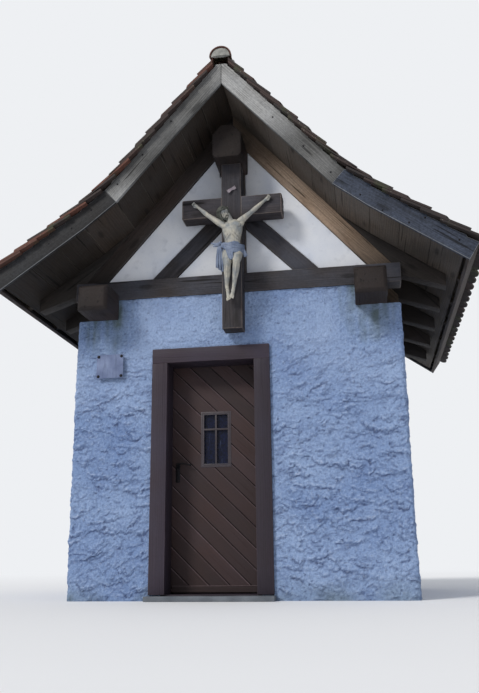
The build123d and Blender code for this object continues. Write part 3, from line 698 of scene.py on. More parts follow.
def cut_along(piece, spacing):
    """Cuts each solid across its grain at even steps, so that its faces can be uneven."""
    pick(piece)
    made = bmesh.new()
    made.from_mesh(piece.data)
    grain = made.verts.layers.float_vector["grain"]
    cuts = []
    for solid in loose_solids(made):
        low = min(solid, key=lambda vertex: vertex[grain].x)
        high = max(solid, key=lambda vertex: vertex[grain].x)
        run = high[grain].x - low[grain].x
        # the way of the grain, from how the grain's own X grows over the solid's edges
        way = Vector()
        for vertex in solid:
            for edge in vertex.link_edges:
                arm = edge.other_vert(vertex).co - vertex.co
                rise = edge.other_vert(vertex)[grain].x - vertex[grain].x
                if abs(abs(rise) - arm.length) < 1e-4 * arm.length and arm.length > way.length:
                    way = arm * math.copysign(1, rise)
        way = way.normalized() if way.length > 0 else (high.co - low.co).normalized()
        count = max(1, round(run / spacing))
        for step in range(1, count):
            cuts.append((low.co + way * (run * step / count), way, low[grain].x, high[grain].x))
    made.free()
    bpy.ops.object.mode_set(mode="EDIT")
    for spot, way, first, last in cuts:
        working = bmesh.from_edit_mesh(piece.data)
        grain = working.verts.layers.float_vector["grain"]
        for face in working.faces:
            xs = [vertex[grain].x for vertex in face.verts]
            face.select_set(min(xs) > first - 1e-4 and max(xs) < last + 1e-4)
        bmesh.update_edit_mesh(piece.data)
        bpy.ops.mesh.bisect(plane_co=spot, plane_no=way)
    bpy.ops.object.mode_set(mode="OBJECT")


def roughen(piece, depth, scale=5.0):
    """Moves the faces in and out a little, as an axe or a plane leaves them."""
    mesh = piece.data
    ways = [vertex.normal.copy() for vertex in mesh.vertices]
    for vertex, way in zip(mesh.vertices, ways):
        wave = noise.noise(vertex.co * scale) + 0.5 * noise.noise(vertex.co * scale * 3.7)
        vertex.co += way * wave * depth


def finish_piece(piece, body, covered, materials=(), smooth=35):
    """Smooths a piece, gives it the materials it lacks, and ties it to its body and CAD nodes."""
    for material in materials:
        if material.name not in piece.data.materials:
            piece.data.materials.append(material)
    pick(piece)
    bpy.ops.object.shade_smooth_by_angle(angle=math.radians(smooth))
    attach(piece, body)
    if covered:
        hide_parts(*covered)


def hewn_timber(name, nodes, materials, edge=0.009, depth=0.0022, seed=1, spacing=0.11):
    """Timbers in their CAD shape, with eased arrises and slightly uneven faces."""
    piece = copy_nodes(name, *nodes)
    give(piece, *materials)
    ease_edges(piece, edge)
    lay_grain(piece, seed)
    cut_along(piece, spacing)
    roughen(piece, depth)
    finish_piece(piece, "chapel", nodes)
    return piece


dark_timber = wood_finish("dark stained timber", srgb(36, 32, 33), srgb(66, 61, 62), srgb(68, 74, 88), 0.5)
worn_arris = wood_finish("worn timber arris", srgb(52, 47, 46), srgb(88, 81, 78), srgb(86, 88, 96), 0.4)
purlin_wood = wood_finish("purlin timber", srgb(38, 29, 27), srgb(66, 54, 50), srgb(58, 57, 63), 0.4)
for number, (name, nodes) in enumerate((
    ("left_wall_purlin_timber", ["left_wall_purlin"]), ("right_wall_purlin_timber", ["right_wall_purlin"]),
    ("ridge_purlin_timber", ["ridge_purlin"]),
    ("front_tie_beam_timber", ["front_tie_beam"]), ("back_tie_beam_timber", ["back_tie_beam"]),
    ("front_post_and_braces", ["front_gable_post", "front_braces"]),
    ("back_post_and_braces", ["back_gable_post", "back_braces"]),
)):
    wood, arris = (purlin_wood, purlin_wood) if "purlin" in name else (dark_timber, worn_arris)
    timber = hewn_timber(name, nodes, [wood, arris], seed=number + 3)
    if "purlin" in name:
        # painted shade: the carried-through ends, out of the sun under the roof, are darkened nearly to black
        paint_shade(timber, lambda spot: (0.85 if "ridge" in name else 0.6) * clamp((abs(spot.y) - 1.4) / 0.25))


# Rafters and sprockets: squared softwood notched over the purlins, with wedges nailed on their
# feet that bend the roof out to the eave. The right-hand pair is lighter and warmer as painted
# sunlight, the left-hand pair darker as painted shade.

shaded_rafter = wood_finish("rafter timber, shaded", srgb(38, 31, 29), srgb(66, 55, 50), srgb(62, 60, 61),
                            0.35)
sunlit_rafter_wood = wood_finish("rafter timber", srgb(98, 80, 66), srgb(158, 136, 116), srgb(142, 132, 122), 0.35)
sunlit_rafter_arris = wood_finish("rafter arris", srgb(104, 86, 72), srgb(160, 138, 118), srgb(144, 134, 124), 0.35)
sprocket_wood = wood_finish("sprocket timber", srgb(42, 37, 35), srgb(74, 65, 60), srgb(70, 68, 68), 0.35)
for side, seed in (("left", 21), ("right", 31)):
    wood, arris = (sunlit_rafter_wood, sunlit_rafter_arris) if side == "right" else (shaded_rafter, worn_arris)
    rafters = hewn_timber(side + "_rafter_timbers", [side + "_rafters"], [wood, arris],
                          edge=0.006, seed=seed, spacing=0.16)
    # painted shade on the upper ends under the ridge and on the feet
    paint_shade(rafters, lambda spot: max(0.8 * clamp((spot.z - 3.85) / 0.3), clamp((3.3 - spot.z) / 0.5)))
    sprockets = hewn_timber(side + "_sprocket_timbers", [side + "_sprockets"], [sprocket_wood, sprocket_wood],
                            edge=0.005, seed=seed + 5, spacing=0.2)
    # painted shade over the sprockets under the eaves
    paint_shade(sprockets, lambda spot: 0.75)


# Gable panels: masonry between the timbers, plastered smooth and limewashed up to the wood, with
# eased edges.

smooth_plaster = plaster_finish("smooth plaster", srgb(200, 206, 218), srgb(226, 228, 232))
for end in ("front", "back"):
    panels = copy_nodes(end + "_gable_panels", end + "_gable_infill")
    ease_edges(panels, 0.012, 3, False)
    roughen(panels, 0.003, 3.0)
    finish_piece(panels, "chapel", [end + "_gable_infill"], [smooth_plaster])


# Roof boards: wide planed softwood boards laid along the roof over the purlins and rafters, seen
# from below at the eaves and verges. Years of damp have turned them grey and streaked them.

roof_apex = 4.5143
roof_bends = ((0.0, 49.0), (0.965, 38.7), (1.25, 35.0))
roof_eave = 2.025


def roof_line(height, beyond=0.0):
    """The right slope seen from the front, at a height above the underside of its boards."""
    slopes = [math.tan(math.radians(pitch)) for place, pitch in roof_bends]
    level = roof_apex
    levels = []
    last = 0.0
    for number, (place, pitch) in enumerate(roof_bends):
        level -= (place - last) * slopes[max(number - 1, 0)]
        last = place
        levels.append(level + slopes[number] * place + height / math.cos(math.radians(pitch)))
    points = [(0.0, levels[0])]
    for first in (0, 1):
        x = (levels[first] - levels[first + 1]) / (slopes[first] - slopes[first + 1])
        points.append((x, levels[first] - slopes[first] * x))
    eave_pitch = math.radians(roof_bends[-1][1])
    x = roof_eave + height * math.sin(eave_pitch) + beyond * math.cos(eave_pitch)
    points.append((x, levels[2] - slopes[2] * x))
    return points


def up_from_eave(line, distance):
    """The place at a distance up the slope from the lower end of a roof line."""
    rest = distance
    for lower, upper in zip(line[::-1], line[-2::-1]):
        length = math.dist(lower, upper)
        if rest <= length or upper is line[0]:
            share = rest / length
            return Vector((lower[0] + (upper[0] - lower[0]) * share, 0,
                           lower[1] + (upper[1] - lower[1]) * share))
        rest -= length


def on_slope(lower, upper):
    """A matrix that lays a flat piece on the slope: its Y along the ridge, its X down the slope."""
    down = (lower - upper).normalized()
    out = Vector((0, 1, 0))
    turn = Matrix((down, out, down.cross(out))).transposed().to_4x4()
    return Matrix.Translation(upper) @ turn


def plain_block(name, low, high):
    """A block between two corners, made at its size and place."""
    low, high = Vector(low), Vector(high)
    bpy.ops.mesh.primitive_cube_add(size=1, location=(low + high) / 2)
    block = bpy.context.object
    block.name = name
    block.data.name = name
    block.scale = high - low
    bpy.ops.object.transform_apply(location=True, rotation=True, scale=True)
    return block


def join_pieces(name, pieces):
    bpy.ops.object.select_all(action="DESELECT")
    for piece in pieces:
        piece.select_set(True)
    bpy.context.view_layer.objects.active = pieces[0]
    if len(pieces) > 1:
        bpy.ops.object.join()
    pieces[0].name = name
    pieces[0].data.name = name
    return pieces[0]


def mirror_piece(piece):
    """Turns a piece into its mirror image on the left of the chapel."""
    piece.data.transform(Matrix.Scale(-1, 4, (1, 0, 0)))
    piece.data.flip_normals()
    return piece


def copy_piece(piece):
    """A copy of a piece with a mesh of its own."""
    made = piece.copy()
    made.data = piece.data.copy()
    bpy.context.scene.collection.objects.link(made)
    return made


board_thick = 0.025
board_half_length = 1.934
soffit_right = wood_finish("roof board, right", srgb(58, 51, 46), srgb(98, 88, 79), srgb(96, 91, 86), 0.6,
                           0.02, 0.0012)
# the left-hand boards are a darker copy: painted shade
shaded_roof_board = wood_finish("roof board, left", srgb(37, 30, 25), srgb(64, 54, 46), srgb(58, 54, 52), 0.6,
                          0.02, 0.0012)
soffit_arris = wood_finish("roof board arris", srgb(60, 54, 48), srgb(88, 80, 72), srgb(92, 88, 84), 0.5)
line = roof_line(0.0)
for side, finish in (("right", soffit_right), ("left", shaded_roof_board)):
    boards = []
    for stretch, count in ((0, 5), (1, 1), (2, 3)):
        upper = Vector((line[stretch][0], 0, line[stretch][1]))
        lower = Vector((line[stretch + 1][0], 0, line[stretch + 1][1]))
        if stretch == 2:
            lower = upper + (lower - upper) * 0.934
        wide = (lower - upper).length / count
        for number in range(count):
            board = plain_block("roof_board", (0.001, -board_half_length, 0),
                                (wide - 0.001, board_half_length, board_thick))
            board.data.transform(on_slope(lower, upper) @ Matrix.Translation((number * wide, 0, 0)))
            boards.append(board)
    roof_boards = join_pieces(side + "_roof_board_planks", boards)
    give(roof_boards, finish, soffit_arris)
    ease_edges(roof_boards, 0.004, 1)
    lay_grain(roof_boards, 51 if side == "right" else 61, lambda middle: (0, 1, 0))
    cut_along(roof_boards, 0.3)
    roughen(roof_boards, 0.0008, 2.5)
    if side == "left":
        mirror_piece(roof_boards)
    # painted shade toward the eaves
    paint_shade(roof_boards, lambda spot: 0.6 * clamp((abs(spot.x) - 1.25) / 0.35))
    finish_piece(roof_boards, "chapel", [side + "_roof_boards"])


# Battens: sawn laths over the boards, out of the light under the tiles. They keep their CAD shape
# and only take a finish.

def batten_finish():
    material, tree, where = empty_material("sawn batten")
    saw = noise_map(tree, stretch_place(tree, where, (30, 3, 30)), 1.0, 5.0)
    colour = blend_colours(tree, spread(tree, saw, 0.35, 0.65), srgb(66, 58, 50), srgb(104, 94, 82))
    return finished(material, colour, 0.85, saw, 0.6, 0.002)


sawn_batten = batten_finish()
for side in ("left", "right"):
    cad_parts[side + "_battens"].material_slots[0].material = sawn_batten


# Roof tiles: flat fired-clay tiles with rounded tails, hung on the battens in double lap, each
# course set half a tile over from the one below. Rusty red, gone dark and mossy.

tile_wide = 0.1765
tile_long = 0.44
tile_thick = 0.017
tile_course = 0.18
tile_half_length = 2.03
tile_lift = 0.044
tile_bed = 0.135
tile_beyond = 0.065


def tile_finish(name, red, dark, moss_share):
    """Fired clay with a tone of its own to each tile, dark lichen, and moss where it is damp."""
    material, tree, where = empty_material(name)
    tone = written(tree, "tone")
    cloud = noise_map(tree, where, 4.0, 6.0)
    fine = noise_map(tree, where, 60.0, 5.0)
    spots = cell_map(tree, where, 38.0)
    colour = blend_colours(tree, spread(tree, tone, 0.0, 0.6), red, dark)
    colour = tint(tree, colour, fine, 0.4, 0.7, 0.5, srgb(54, 40, 36))
    lichen = times(tree, spread(tree, spots, 0.08, 0.2, 1, 0), spread(tree, cloud, 0.45, 0.6))
    colour = blend_colours(tree, times(tree, lichen, 0.7), colour, srgb(150, 148, 132))
    moss = spread(tree, cloud, 0.56, 0.66, 0, moss_share)
    colour = blend_colours(tree, moss, colour, srgb(54, 58, 38))
    height = reckon(tree, "ADD", fine, times(tree, moss, 0.8))
    return finished(material, colour, 0.82, height, 0.7, 0.003)


def cut_planes(piece, planes, **settings):
    """Cuts a piece right through by planes, each one a place and the way it faces."""
    bpy.context.view_layer.objects.active = piece
    bpy.ops.object.mode_set(mode="EDIT")
    for spot, way in planes:
        bpy.ops.mesh.select_all(action="SELECT")
        bpy.ops.mesh.bisect(plane_co=spot, plane_no=way, **settings)
    bpy.ops.object.mode_set(mode="OBJECT")


def plain_tile(name, wide, offset=0.0):
    """One tile, its head at the origin, lying down the slope in X and along the roof in Y."""
    tile = plain_block(name, (0, 0, 0), (tile_long, wide, tile_thick))
    cuts = (0.08, 0.2, 0.35, 0.5, 0.65, 0.8, 0.92)
    cut_planes(tile, [((0, wide * cut, 0), (0, 1, 0)) for cut in cuts])
    for vertex in tile.data.vertices:
        across = (vertex.co.y + offset) / tile_wide * 2 - 1
        if vertex.co.x > tile_long / 2:
            vertex.co.x -= 0.042 * across ** 2
        vertex.co.z += 0.0022 * (1 - across ** 2)
    return tile


def write_tone(piece, shade):
    tone = piece.data.attributes.new("tone", "FLOAT", "POINT")
    tone.data.foreach_set("value", [shade] * len(piece.data.vertices))


def lay_tiles(side, finish, seed):
    """Lays one slope course by course from the eave, each tile a little out of line."""
    dice = random.Random(seed)
    whole = plain_tile("tile", tile_wide - 0.003)
    half_left = plain_tile("half_tile", tile_wide / 2 - 0.003)
    half_right = plain_tile("half_tile", tile_wide / 2 - 0.003, tile_wide / 2)
    bed = roof_line(tile_bed, tile_beyond)
    tails = roof_line(tile_bed + tile_lift, tile_beyond)
    columns = round(2 * tile_half_length / tile_wide)
    run = sum(math.dist(a, b) for a, b in zip(tails, tails[1:]))
    tiles = []
    for course in range(int(run / tile_course) + 1):
        tail = up_from_eave(tails, course * tile_course)
        head = up_from_eave(bed, course * tile_course + tile_long)
        laid = on_slope(tail, tail + (head - tail).normalized() * tile_long)
        shifted = course % 2
        for column in range(columns + shifted):
            at_verge = shifted and column in (0, columns)
            along = -tile_half_length + (column - 0.5 * shifted) * tile_wide
            if at_verge and column == 0:
                along = -tile_half_length
            tile = copy_piece((half_left if column else half_right) if at_verge else whole)
            turn = Matrix.Rotation(dice.gauss(0, 0.006), 4, "Z")
            turn = turn @ Matrix.Rotation(dice.gauss(0, 0.003), 4, "Y")
            slide = Matrix.Translation((dice.gauss(0, 0.002), along + 0.0015, abs(dice.gauss(0, 0.0012))))
            if at_verge or column in (0, columns - 1 + shifted):
                turn = Matrix.Identity(4)
            tile.data.transform(laid @ slide @ turn)
            write_tone(tile, clamp(dice.gauss(0.5, 0.26)))
            tiles.append(tile)
    covering = join_pieces(side + "_plain_tiles", tiles)
    for spare in (whole, half_left, half_right):
        bpy.data.objects.remove(spare)
    # cut off plumb beside the ridge
    cut_planes(covering, [((0.072, 0, 0), (1, 0, 0))], clear_inner=True, use_fill=True)
    if side == "left":
        mirror_piece(covering)
    finish_piece(covering, "chapel", [side + "_tile_courses"], [finish], 30)


clay = tile_finish("fired clay tile", srgb(100, 62, 50), srgb(52, 43, 41), 0.8)
shaded_clay = tile_finish("fired clay tile, shaded", srgb(66, 48, 43), srgb(38, 33, 33), 0.8)
lay_tiles("right", shaded_clay, 71)
lay_tiles("left", clay, 72)


# Ridge: half-round tiles, each lapping the next, bedded in lime mortar that also plugs the ends.
# The plugs stand a little inside the end tiles, and the bedding runs along both lower edges.

ridge_seat = 4.7343
ridge_count = 12
ridge_step = 2 * tile_half_length / ridge_count
ridge_lap = 0.045
ridge_pieces = []
dice = random.Random(81)
for number in range(ridge_count):
    start = -tile_half_length + number * ridge_step
    long = ridge_step + (ridge_lap if number < ridge_count - 1 else 0)
    outline = ((0, 0.091), (0, 0.1), (0.008, 0.102), (0.03, 0.102), (0.036, 0.0985), (ridge_step, 0.091),
               (long, 0.089), (long, 0.079), (0.03, 0.089))
    mesh = bpy.data.meshes.new("ridge_tile")
    mesh.from_pydata([(radius, start + along, ridge_seat) for along, radius in outline], [],
                     [tuple(range(len(outline)))])
    ridge_tile = bpy.data.objects.new("ridge_tile", mesh)
    bpy.context.scene.collection.objects.link(ridge_tile)
    pick(ridge_tile)
    bpy.ops.object.mode_set(mode="EDIT")
    bpy.ops.mesh.select_all(action="SELECT")
    bpy.ops.mesh.spin(steps=20, angle=math.pi, center=(0, 0, ridge_seat), axis=(0, 1, 0),
                      use_auto_merge=False)
    bpy.ops.object.mode_set(mode="OBJECT")
    face_outward(ridge_tile, 0.00001)
    write_tone(ridge_tile, clamp(dice.gauss(0.45, 0.25)))
    ridge_pieces.append(ridge_tile)
ridge_row = join_pieces("ridge_tile_row", ridge_pieces)
finish_piece(ridge_row, "chapel", ["ridge_tiles"], [clay], 35)


def mortar_finish():
    material, tree, where = empty_material("lime mortar")
    cloud = noise_map(tree, where, 14.0, 6.0)
    grit = noise_map(tree, where, 240.0, 3.0)
    colour = blend_colours(tree, spread(tree, cloud, 0.35, 0.65), srgb(126, 127, 123), srgb(162, 162, 157))
    colour = tint(tree, colour, grit, 0.6, 0.72, 0.6, srgb(92, 90, 86))
    height = reckon(tree, "ADD", cloud, times(tree, grit, 0.4))
    return finished(material, colour, 0.93, height, 0.8, 0.004)


lime_mortar = mortar_finish()
plug_radius, plug_middle = 0.0885, 2.014
bedding_half_length, bedding_wide = 1.955, 0.034
bedding_out, bedding_drop = 0.078, 0.012
mortar_pieces = []
for end in (-1, 1):
    bpy.ops.mesh.primitive_uv_sphere_add(segments=40, ring_count=20, radius=plug_radius)
    plug = bpy.context.object
    cut_planes(plug, [((0, 0, 0), (0, 0, 1))], clear_inner=True, use_fill=True)
    for vertex in plug.data.vertices:
        spot = vertex.co
        flat = spot.y * 0.2 + 0.004 * noise.noise(spot * 26 + Vector((end * 5, 0, 0)))
        vertex.co = (spot.x, flat + plug_middle * end, spot.z + ridge_seat)
    mortar_pieces.append(plug)
bed_lean = Matrix.Rotation(math.radians(roof_bends[0][1]), 4, "Y")
for side in (-1, 1):
    bed = plain_block("bedding", (0, -bedding_half_length, 0),
                      (bedding_wide, bedding_half_length, bedding_wide))
    ease_edges(bed, 0.012, 2, False)
    cut_planes(bed, [((0, -2 + number * 0.025, 0), (0, 1, 0)) for number in range(1, 160)])
    for vertex in bed.data.vertices:
        spot = bed_lean @ vertex.co
        lump = noise.noise(Vector((side * 3, vertex.co.y * 17, vertex.co.z * 9)))
        lump += 0.5 * noise.noise(Vector((side * 7, vertex.co.y * 47, vertex.co.x * 30)))
        spot.x += 0.007 * lump
        spot.z += 0.005 * lump
        vertex.co = (side * (spot.x + bedding_out), spot.y, spot.z + ridge_seat - bedding_drop)
    if side < 0:
        bed.data.flip_normals()
    mortar_pieces.append(bed)
mortar = join_pieces("ridge_mortar_bed", mortar_pieces)
finish_piece(mortar, "chapel", ["ridge_mortar"], [lime_mortar], 50)


# Bargeboards: upper and lower boards scarfed together at the bend and nailed to the purlins, with
# their top edges notched under the tiles. The weather has silvered the upper ones at the apex.

def roof_place(x, z, line):
    """How far up from the eave a point lies, and how far over the roof line."""
    best = None
    passed = 0.0
    for lower, upper in zip(line[::-1], line[-2::-1]):
        way = Vector((upper[0] - lower[0], upper[1] - lower[1]))
        length = way.length
        way = way / length
        arm = Vector((x - lower[0], z - lower[1]))
        along = arm.dot(way)
        over = arm.x * way.y - arm.y * way.x
        miss = abs(clamp(along, 0, length) - along)
        if best is None or miss < best[0]:
            best = (miss, passed + along, over)
        passed += length
    return best[1], best[2]


silver_board = wood_finish("silvered bargeboard", srgb(92, 92, 93), srgb(172, 172, 170), srgb(186, 188, 190),
                           0.5, 0.016, 0.0022, 0.72, 1.0, 0.2)
grey_board = wood_finish("dark bargeboard", srgb(30, 34, 42), srgb(56, 62, 76), srgb(64, 72, 88), 0.5,
                         0.016, 0.0022, 0.72, 1.0, 0.4)
# a darker copy for the boards in shade: painted shade
shaded_board = wood_finish("bargeboard, painted shade", srgb(24, 23, 23), srgb(46, 44, 45), srgb(46, 49, 53), 0.6,
                          0.016, 0.0022, 0.72, 1.0, 0.4)
board_arris = wood_finish("bargeboard arris", srgb(72, 74, 76), srgb(120, 122, 124), srgb(132, 136, 140), 0.4)
tooth_line = roof_line(tile_bed, tile_beyond)


def bargeboard_shade(spot):
    """Painted shade: none at the apex, darker further down, and on the left lighter again over the scarf."""
    if spot.x < 0:
        return 0.85 * clamp((4.66 - spot.z) / 0.35) * clamp((spot.z - 3.4) / 0.25)
    return 0.85 * clamp((4.25 - spot.z) / 0.4)


def bargeboards(end, part, low_finish, high_finish, seed):
    """Copies of the CAD boards, cut at each course and notched along their top edges."""
    node = f"{end}_{part}_bargeboards"
    piece = copy_nodes(node + "_planks", node)
    if part == "upper":
        cut_planes(piece, [((0, 0, 4.68), (0, 0, 1))], clear_outer=True, use_fill=True)
    bpy.ops.object.mode_set(mode="EDIT")
    run = sum(math.dist(a, b) for a, b in zip(tooth_line, tooth_line[1:]))
    for course in range(1, int(run / tile_course) + 1):
        for shift in (0.0, 0.004, 0.09):
            place = up_from_eave(tooth_line, course * tile_course + shift)
            above = up_from_eave(tooth_line, course * tile_course + shift + 0.01)
            for side in (-1, 1):
                way = (above - place).normalized()
                way.x *= side
                select_faces(piece, lambda face: face.calc_center_median().x * side > 0)
                bpy.ops.mesh.bisect(plane_co=(place.x * side, 0, place.z), plane_no=way)
    bpy.ops.object.mode_set(mode="OBJECT")
    for vertex in piece.data.vertices:
        along, over = roof_place(abs(vertex.co.x), vertex.co.z, tooth_line)
        if over > -0.004 and vertex.co.z < 4.675:
            course = (along - 0.002) / tile_course
            share = course - math.floor(course)
            vertex.co.z += 0.020 - 0.017 * share
    fall = math.radians(49 if part == "upper" else 36)
    lay_grain(piece, seed, lambda middle: (math.copysign(math.cos(fall), middle.x), 0, -math.sin(fall)))
    give(piece, low_finish, board_arris, high_finish)
    ease_edges(piece, 0.004, 2)
    roughen(piece, 0.0012, 4.0)
    if part == "upper":
        paint_shade(piece, bargeboard_shade)
    # the right-hand faces take the third finish, so the two sides can differ by painted shade
    for face in piece.data.polygons:
        if face.material_index == 0 and face.center.x > 0:
            face.material_index = 2
    finish_piece(piece, "chapel", [node])


bargeboards("front", "upper", silver_board, silver_board, 91)
bargeboards("front", "lower", shaded_board, grey_board, 92)
bargeboards("back", "upper", silver_board, grey_board, 93)
bargeboards("back", "lower", grey_board, shaded_board, 94)
for side in ("left", "right"):
    hewn_timber(side + "_eave_plank", [side + "_eave_board"], [sprocket_wood, worn_arris],
                edge=0.003, depth=0.0008, seed=95, spacing=0.3)


# Door frame: planed casing boards nailed round the doorway, the head resting on the uprights, and
# behind them a lining through the wall with a rebate for the leaf. Painted a brown that has gone dull.

opening_left, opening_right = -0.6075, 0.1755
opening_top = 2.04
floor_top = 0.05
casing_wood = wood_finish("casing paint", srgb(35, 28, 35), srgb(49, 40, 50), srgb(47, 43, 57), 0.5, 0.018,
                          0.0009, 0.6, 0.1, 0.08)
casing_arris = wood_finish("casing arris", srgb(50, 42, 48), srgb(68, 58, 66), srgb(66, 62, 74), 0.4)
casing_left, casing_right, casing_top = opening_left - 0.14, opening_right + 0.14, opening_top + 0.13
casing_front, casing_back = -1.43, -1.4
upright_top = opening_top - 0.001
casing = join_pieces("door_casing_boards", [
    plain_block("casing", (casing_left, casing_front, floor_top), (opening_left, casing_back, upright_top)),
    plain_block("casing", (opening_right, casing_front, floor_top), (casing_right, casing_back, upright_top)),
    plain_block("casing", (casing_left, casing_front, opening_top), (casing_right, casing_back, casing_top)),
])
give(casing, casing_wood, casing_arris)
ease_edges(casing, 0.005, 3)
lay_grain(casing, 101)
cut_along(casing, 0.2)
roughen(casing, 0.0012, 3.0)
finish_piece(casing, "chapel", [])

lining_thick, rebate = 0.04, 0.018
lining_left, lining_right = opening_left - lining_thick, opening_right + lining_thick
lining_top, rebate_top = opening_top + lining_thick, opening_top + rebate
rebate_left, rebate_right = opening_left - rebate, opening_right + rebate
shoulder_y, lining_back = -1.2, -1.145
lining = join_pieces("door_lining_boards", [
    plain_block("lining", (lining_left, casing_back, floor_top), (opening_left, shoulder_y, lining_top)),
    plain_block("lining", (opening_right, casing_back, floor_top), (lining_right, shoulder_y, lining_top)),
    plain_block("lining", (opening_left, casing_back, opening_top), (opening_right, shoulder_y, lining_top)),
    plain_block("rebate", (lining_left, shoulder_y, floor_top), (rebate_left, lining_back, lining_top)),
    plain_block("rebate", (rebate_right, shoulder_y, floor_top), (lining_right, lining_back, lining_top)),
    plain_block("rebate", (rebate_left, shoulder_y, rebate_top), (rebate_right, lining_back, lining_top)),
    plain_block("threshold", (lining_left, casing_back, 0.042), (lining_right, lining_back, floor_top)),
])
give(lining, casing_wood, casing_arris)
ease_edges(lining, 0.002, 2)
lay_grain(lining, 102)
finish_piece(lining, "chapel", ["door_frame"])
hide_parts("door_frame")


# Door leaf: two layers of softwood boards nailed together, the outer ones laid slantwise with
# chamfered joints, the inner ones upright, and a rail along the foot that sheds the rain.

leaf_low, leaf_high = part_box("door_leaf")
leaf_front, leaf_back = -1.195, -1.145
leaf_middle = leaf_front + 0.024
groove_rise = 0.175
groove_start = 1.318
groove_angle = math.radians(44.1)
slant_wide = groove_rise * math.cos(groove_angle)
window_low, window_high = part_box("door_window_frame")
spindle_x, spindle_z = -0.5555, 1.138
door_paint = wood_finish("door paint", srgb(39, 26, 26), srgb(57, 39, 38), srgb(50, 41, 46), 0.45, 0.014,
                         0.001, 0.55, 0.1, 0.1)
# the chamfered edges are darker than the paint: painted shade in the grooves
door_arris = wood_finish("door paint, edge", srgb(20, 15, 16), srgb(32, 25, 25), srgb(32, 29, 31), 0.4, 0.014,
                         0.001, 0.55, 0.0)
# the upward arrises are paler: painted highlight
door_edge_highlight = wood_finish("door paint, painted upper edge highlight", srgb(76, 62, 64), srgb(106, 89, 92),
                              srgb(102, 92, 100), 0.4, 0.014, 0.001, 0.55, 0.0)


def trim_to_leaf(piece):
    """Cuts boards off at the four edges of the leaf."""
    edges = (((leaf_low.x, 0, 0), (-1, 0, 0)), ((leaf_high.x, 0, 0), (1, 0, 0)),
             ((0, 0, leaf_low.z), (0, 0, -1)), ((0, 0, leaf_high.z), (0, 0, 1)))
    cut_planes(piece, edges, clear_outer=True, use_fill=True)


def cut_leaf_holes(piece):
    """Cuts the window and the hole for the lever's spindle out of boards."""
    window = plain_block("cutter", (window_low.x, leaf_front - 0.1, window_low.z),
                         (window_high.x, leaf_back + 0.1, window_high.z))
    bpy.ops.mesh.primitive_cylinder_add(vertices=24, radius=0.0075, depth=0.2,
                                        location=(spindle_x, leaf_middle, spindle_z),
                                        rotation=(math.pi / 2, 0, 0))
    for cutter in (window, bpy.context.object):
        apply_modifier(piece, "BOOLEAN", object=cutter, operation="DIFFERENCE", solver="EXACT")
        bpy.data.objects.remove(cutter)


def light_upper_edges(piece):
    """Gives the arrises that face upward and forward the paler finish, a painted highlight."""
    piece.data.materials.append(door_edge_highlight)
    for face in piece.data.polygons:
        if face.material_index == 1 and face.normal.z > 0.2 and face.normal.y < -0.2:
            face.material_index = 2


slants = []
for number in range(-8, 13):
    slant = plain_block("slant", (-1.6, leaf_front, -slant_wide), (1.6, leaf_middle - 0.0006, -0.0028))
    turn = Matrix.Rotation(groove_angle, 4, "Y")
    slant.data.transform(Matrix.Translation((opening_left, 0, groove_start + number * groove_rise)) @ turn)
    slants.append(slant)
slants = join_pieces("door_slanting_boards", slants)
give(slants, door_paint, door_arris)
ease_edges(slants, 0.0062, 1)
light_upper_edges(slants)
trim_to_leaf(slants)
cut_leaf_holes(slants)


def slant_tone(middle):
    """The tone of a slanting board, the same on both sides of the window."""
    down = (middle.x - opening_left) * math.tan(groove_angle)
    return random.Random(math.floor((middle.z - groove_start + down) / groove_rise) + 50).random()


lay_grain(slants, 111, lambda middle: (math.cos(groove_angle), 0, -math.sin(groove_angle)), slant_tone)
uprights = []
upright_wide = (leaf_high.x - leaf_low.x) / 7
for number in range(7):
    left = leaf_low.x + number * upright_wide
    uprights.append(plain_block("upright", (left + 0.0005, leaf_middle, leaf_low.z),
                                (left + upright_wide - 0.0005, leaf_back, leaf_high.z)))
uprights = join_pieces("door_upright_boards", uprights)
give(uprights, door_paint, door_arris)
ease_edges(uprights, 0.004, 1)
cut_leaf_holes(uprights)
lay_grain(uprights, 112, lambda middle: (0, 0, 1))
rail = plain_block("rail", (opening_left + 0.005, leaf_front - 0.008, leaf_low.z),
                   (opening_right - 0.005, leaf_front, leaf_low.z + 0.058))
give(rail, door_paint, door_arris)
ease_edges(rail, 0.005, 1)
light_upper_edges(rail)
lay_grain(rail, 113)
leaf = join_pieces("door_leaf_boards", [slants, uprights, rail])
finish_piece(leaf, "door", ["door_leaf"])


# Window in the leaf: a small fixed light, its frame let through the boards, with thin glazing bars
# and uneven old glass in a groove.

bar_wood = wood_finish("window bead", srgb(42, 36, 39), srgb(62, 55, 58), srgb(58, 55, 61), 0.4, 0.01,
                       0.0006, 0.5, 0.0)
bead_edge = wood_finish("window bead edge", srgb(56, 52, 58), srgb(82, 78, 86), srgb(80, 78, 88), 0.4, 0.01,
                        0.0006, 0.5, 0.0)
sash = copy_nodes("window_frame_wood", "door_window_frame")
give(sash, bar_wood, bead_edge)
ease_edges(sash, 0.0025, 2)
lay_grain(sash, 121, lambda middle: (0, 0, 1))
frame_wide, bead_wide, half_bar = 0.018, 0.011, 0.008
day_left, day_right = window_low.x + frame_wide, window_high.x - frame_wide
day_foot, day_head = window_low.z + frame_wide, window_high.z - frame_wide
inner_left, inner_right = day_left + bead_wide, day_right - bead_wide
inner_foot, inner_head = day_foot + bead_wide, day_head - bead_wide
bar_front, bar_back = window_low.y - 0.003, -1.1735
middle_x = (day_left + day_right) / 2
cross_z = day_head - 0.31 * (day_head - day_foot)
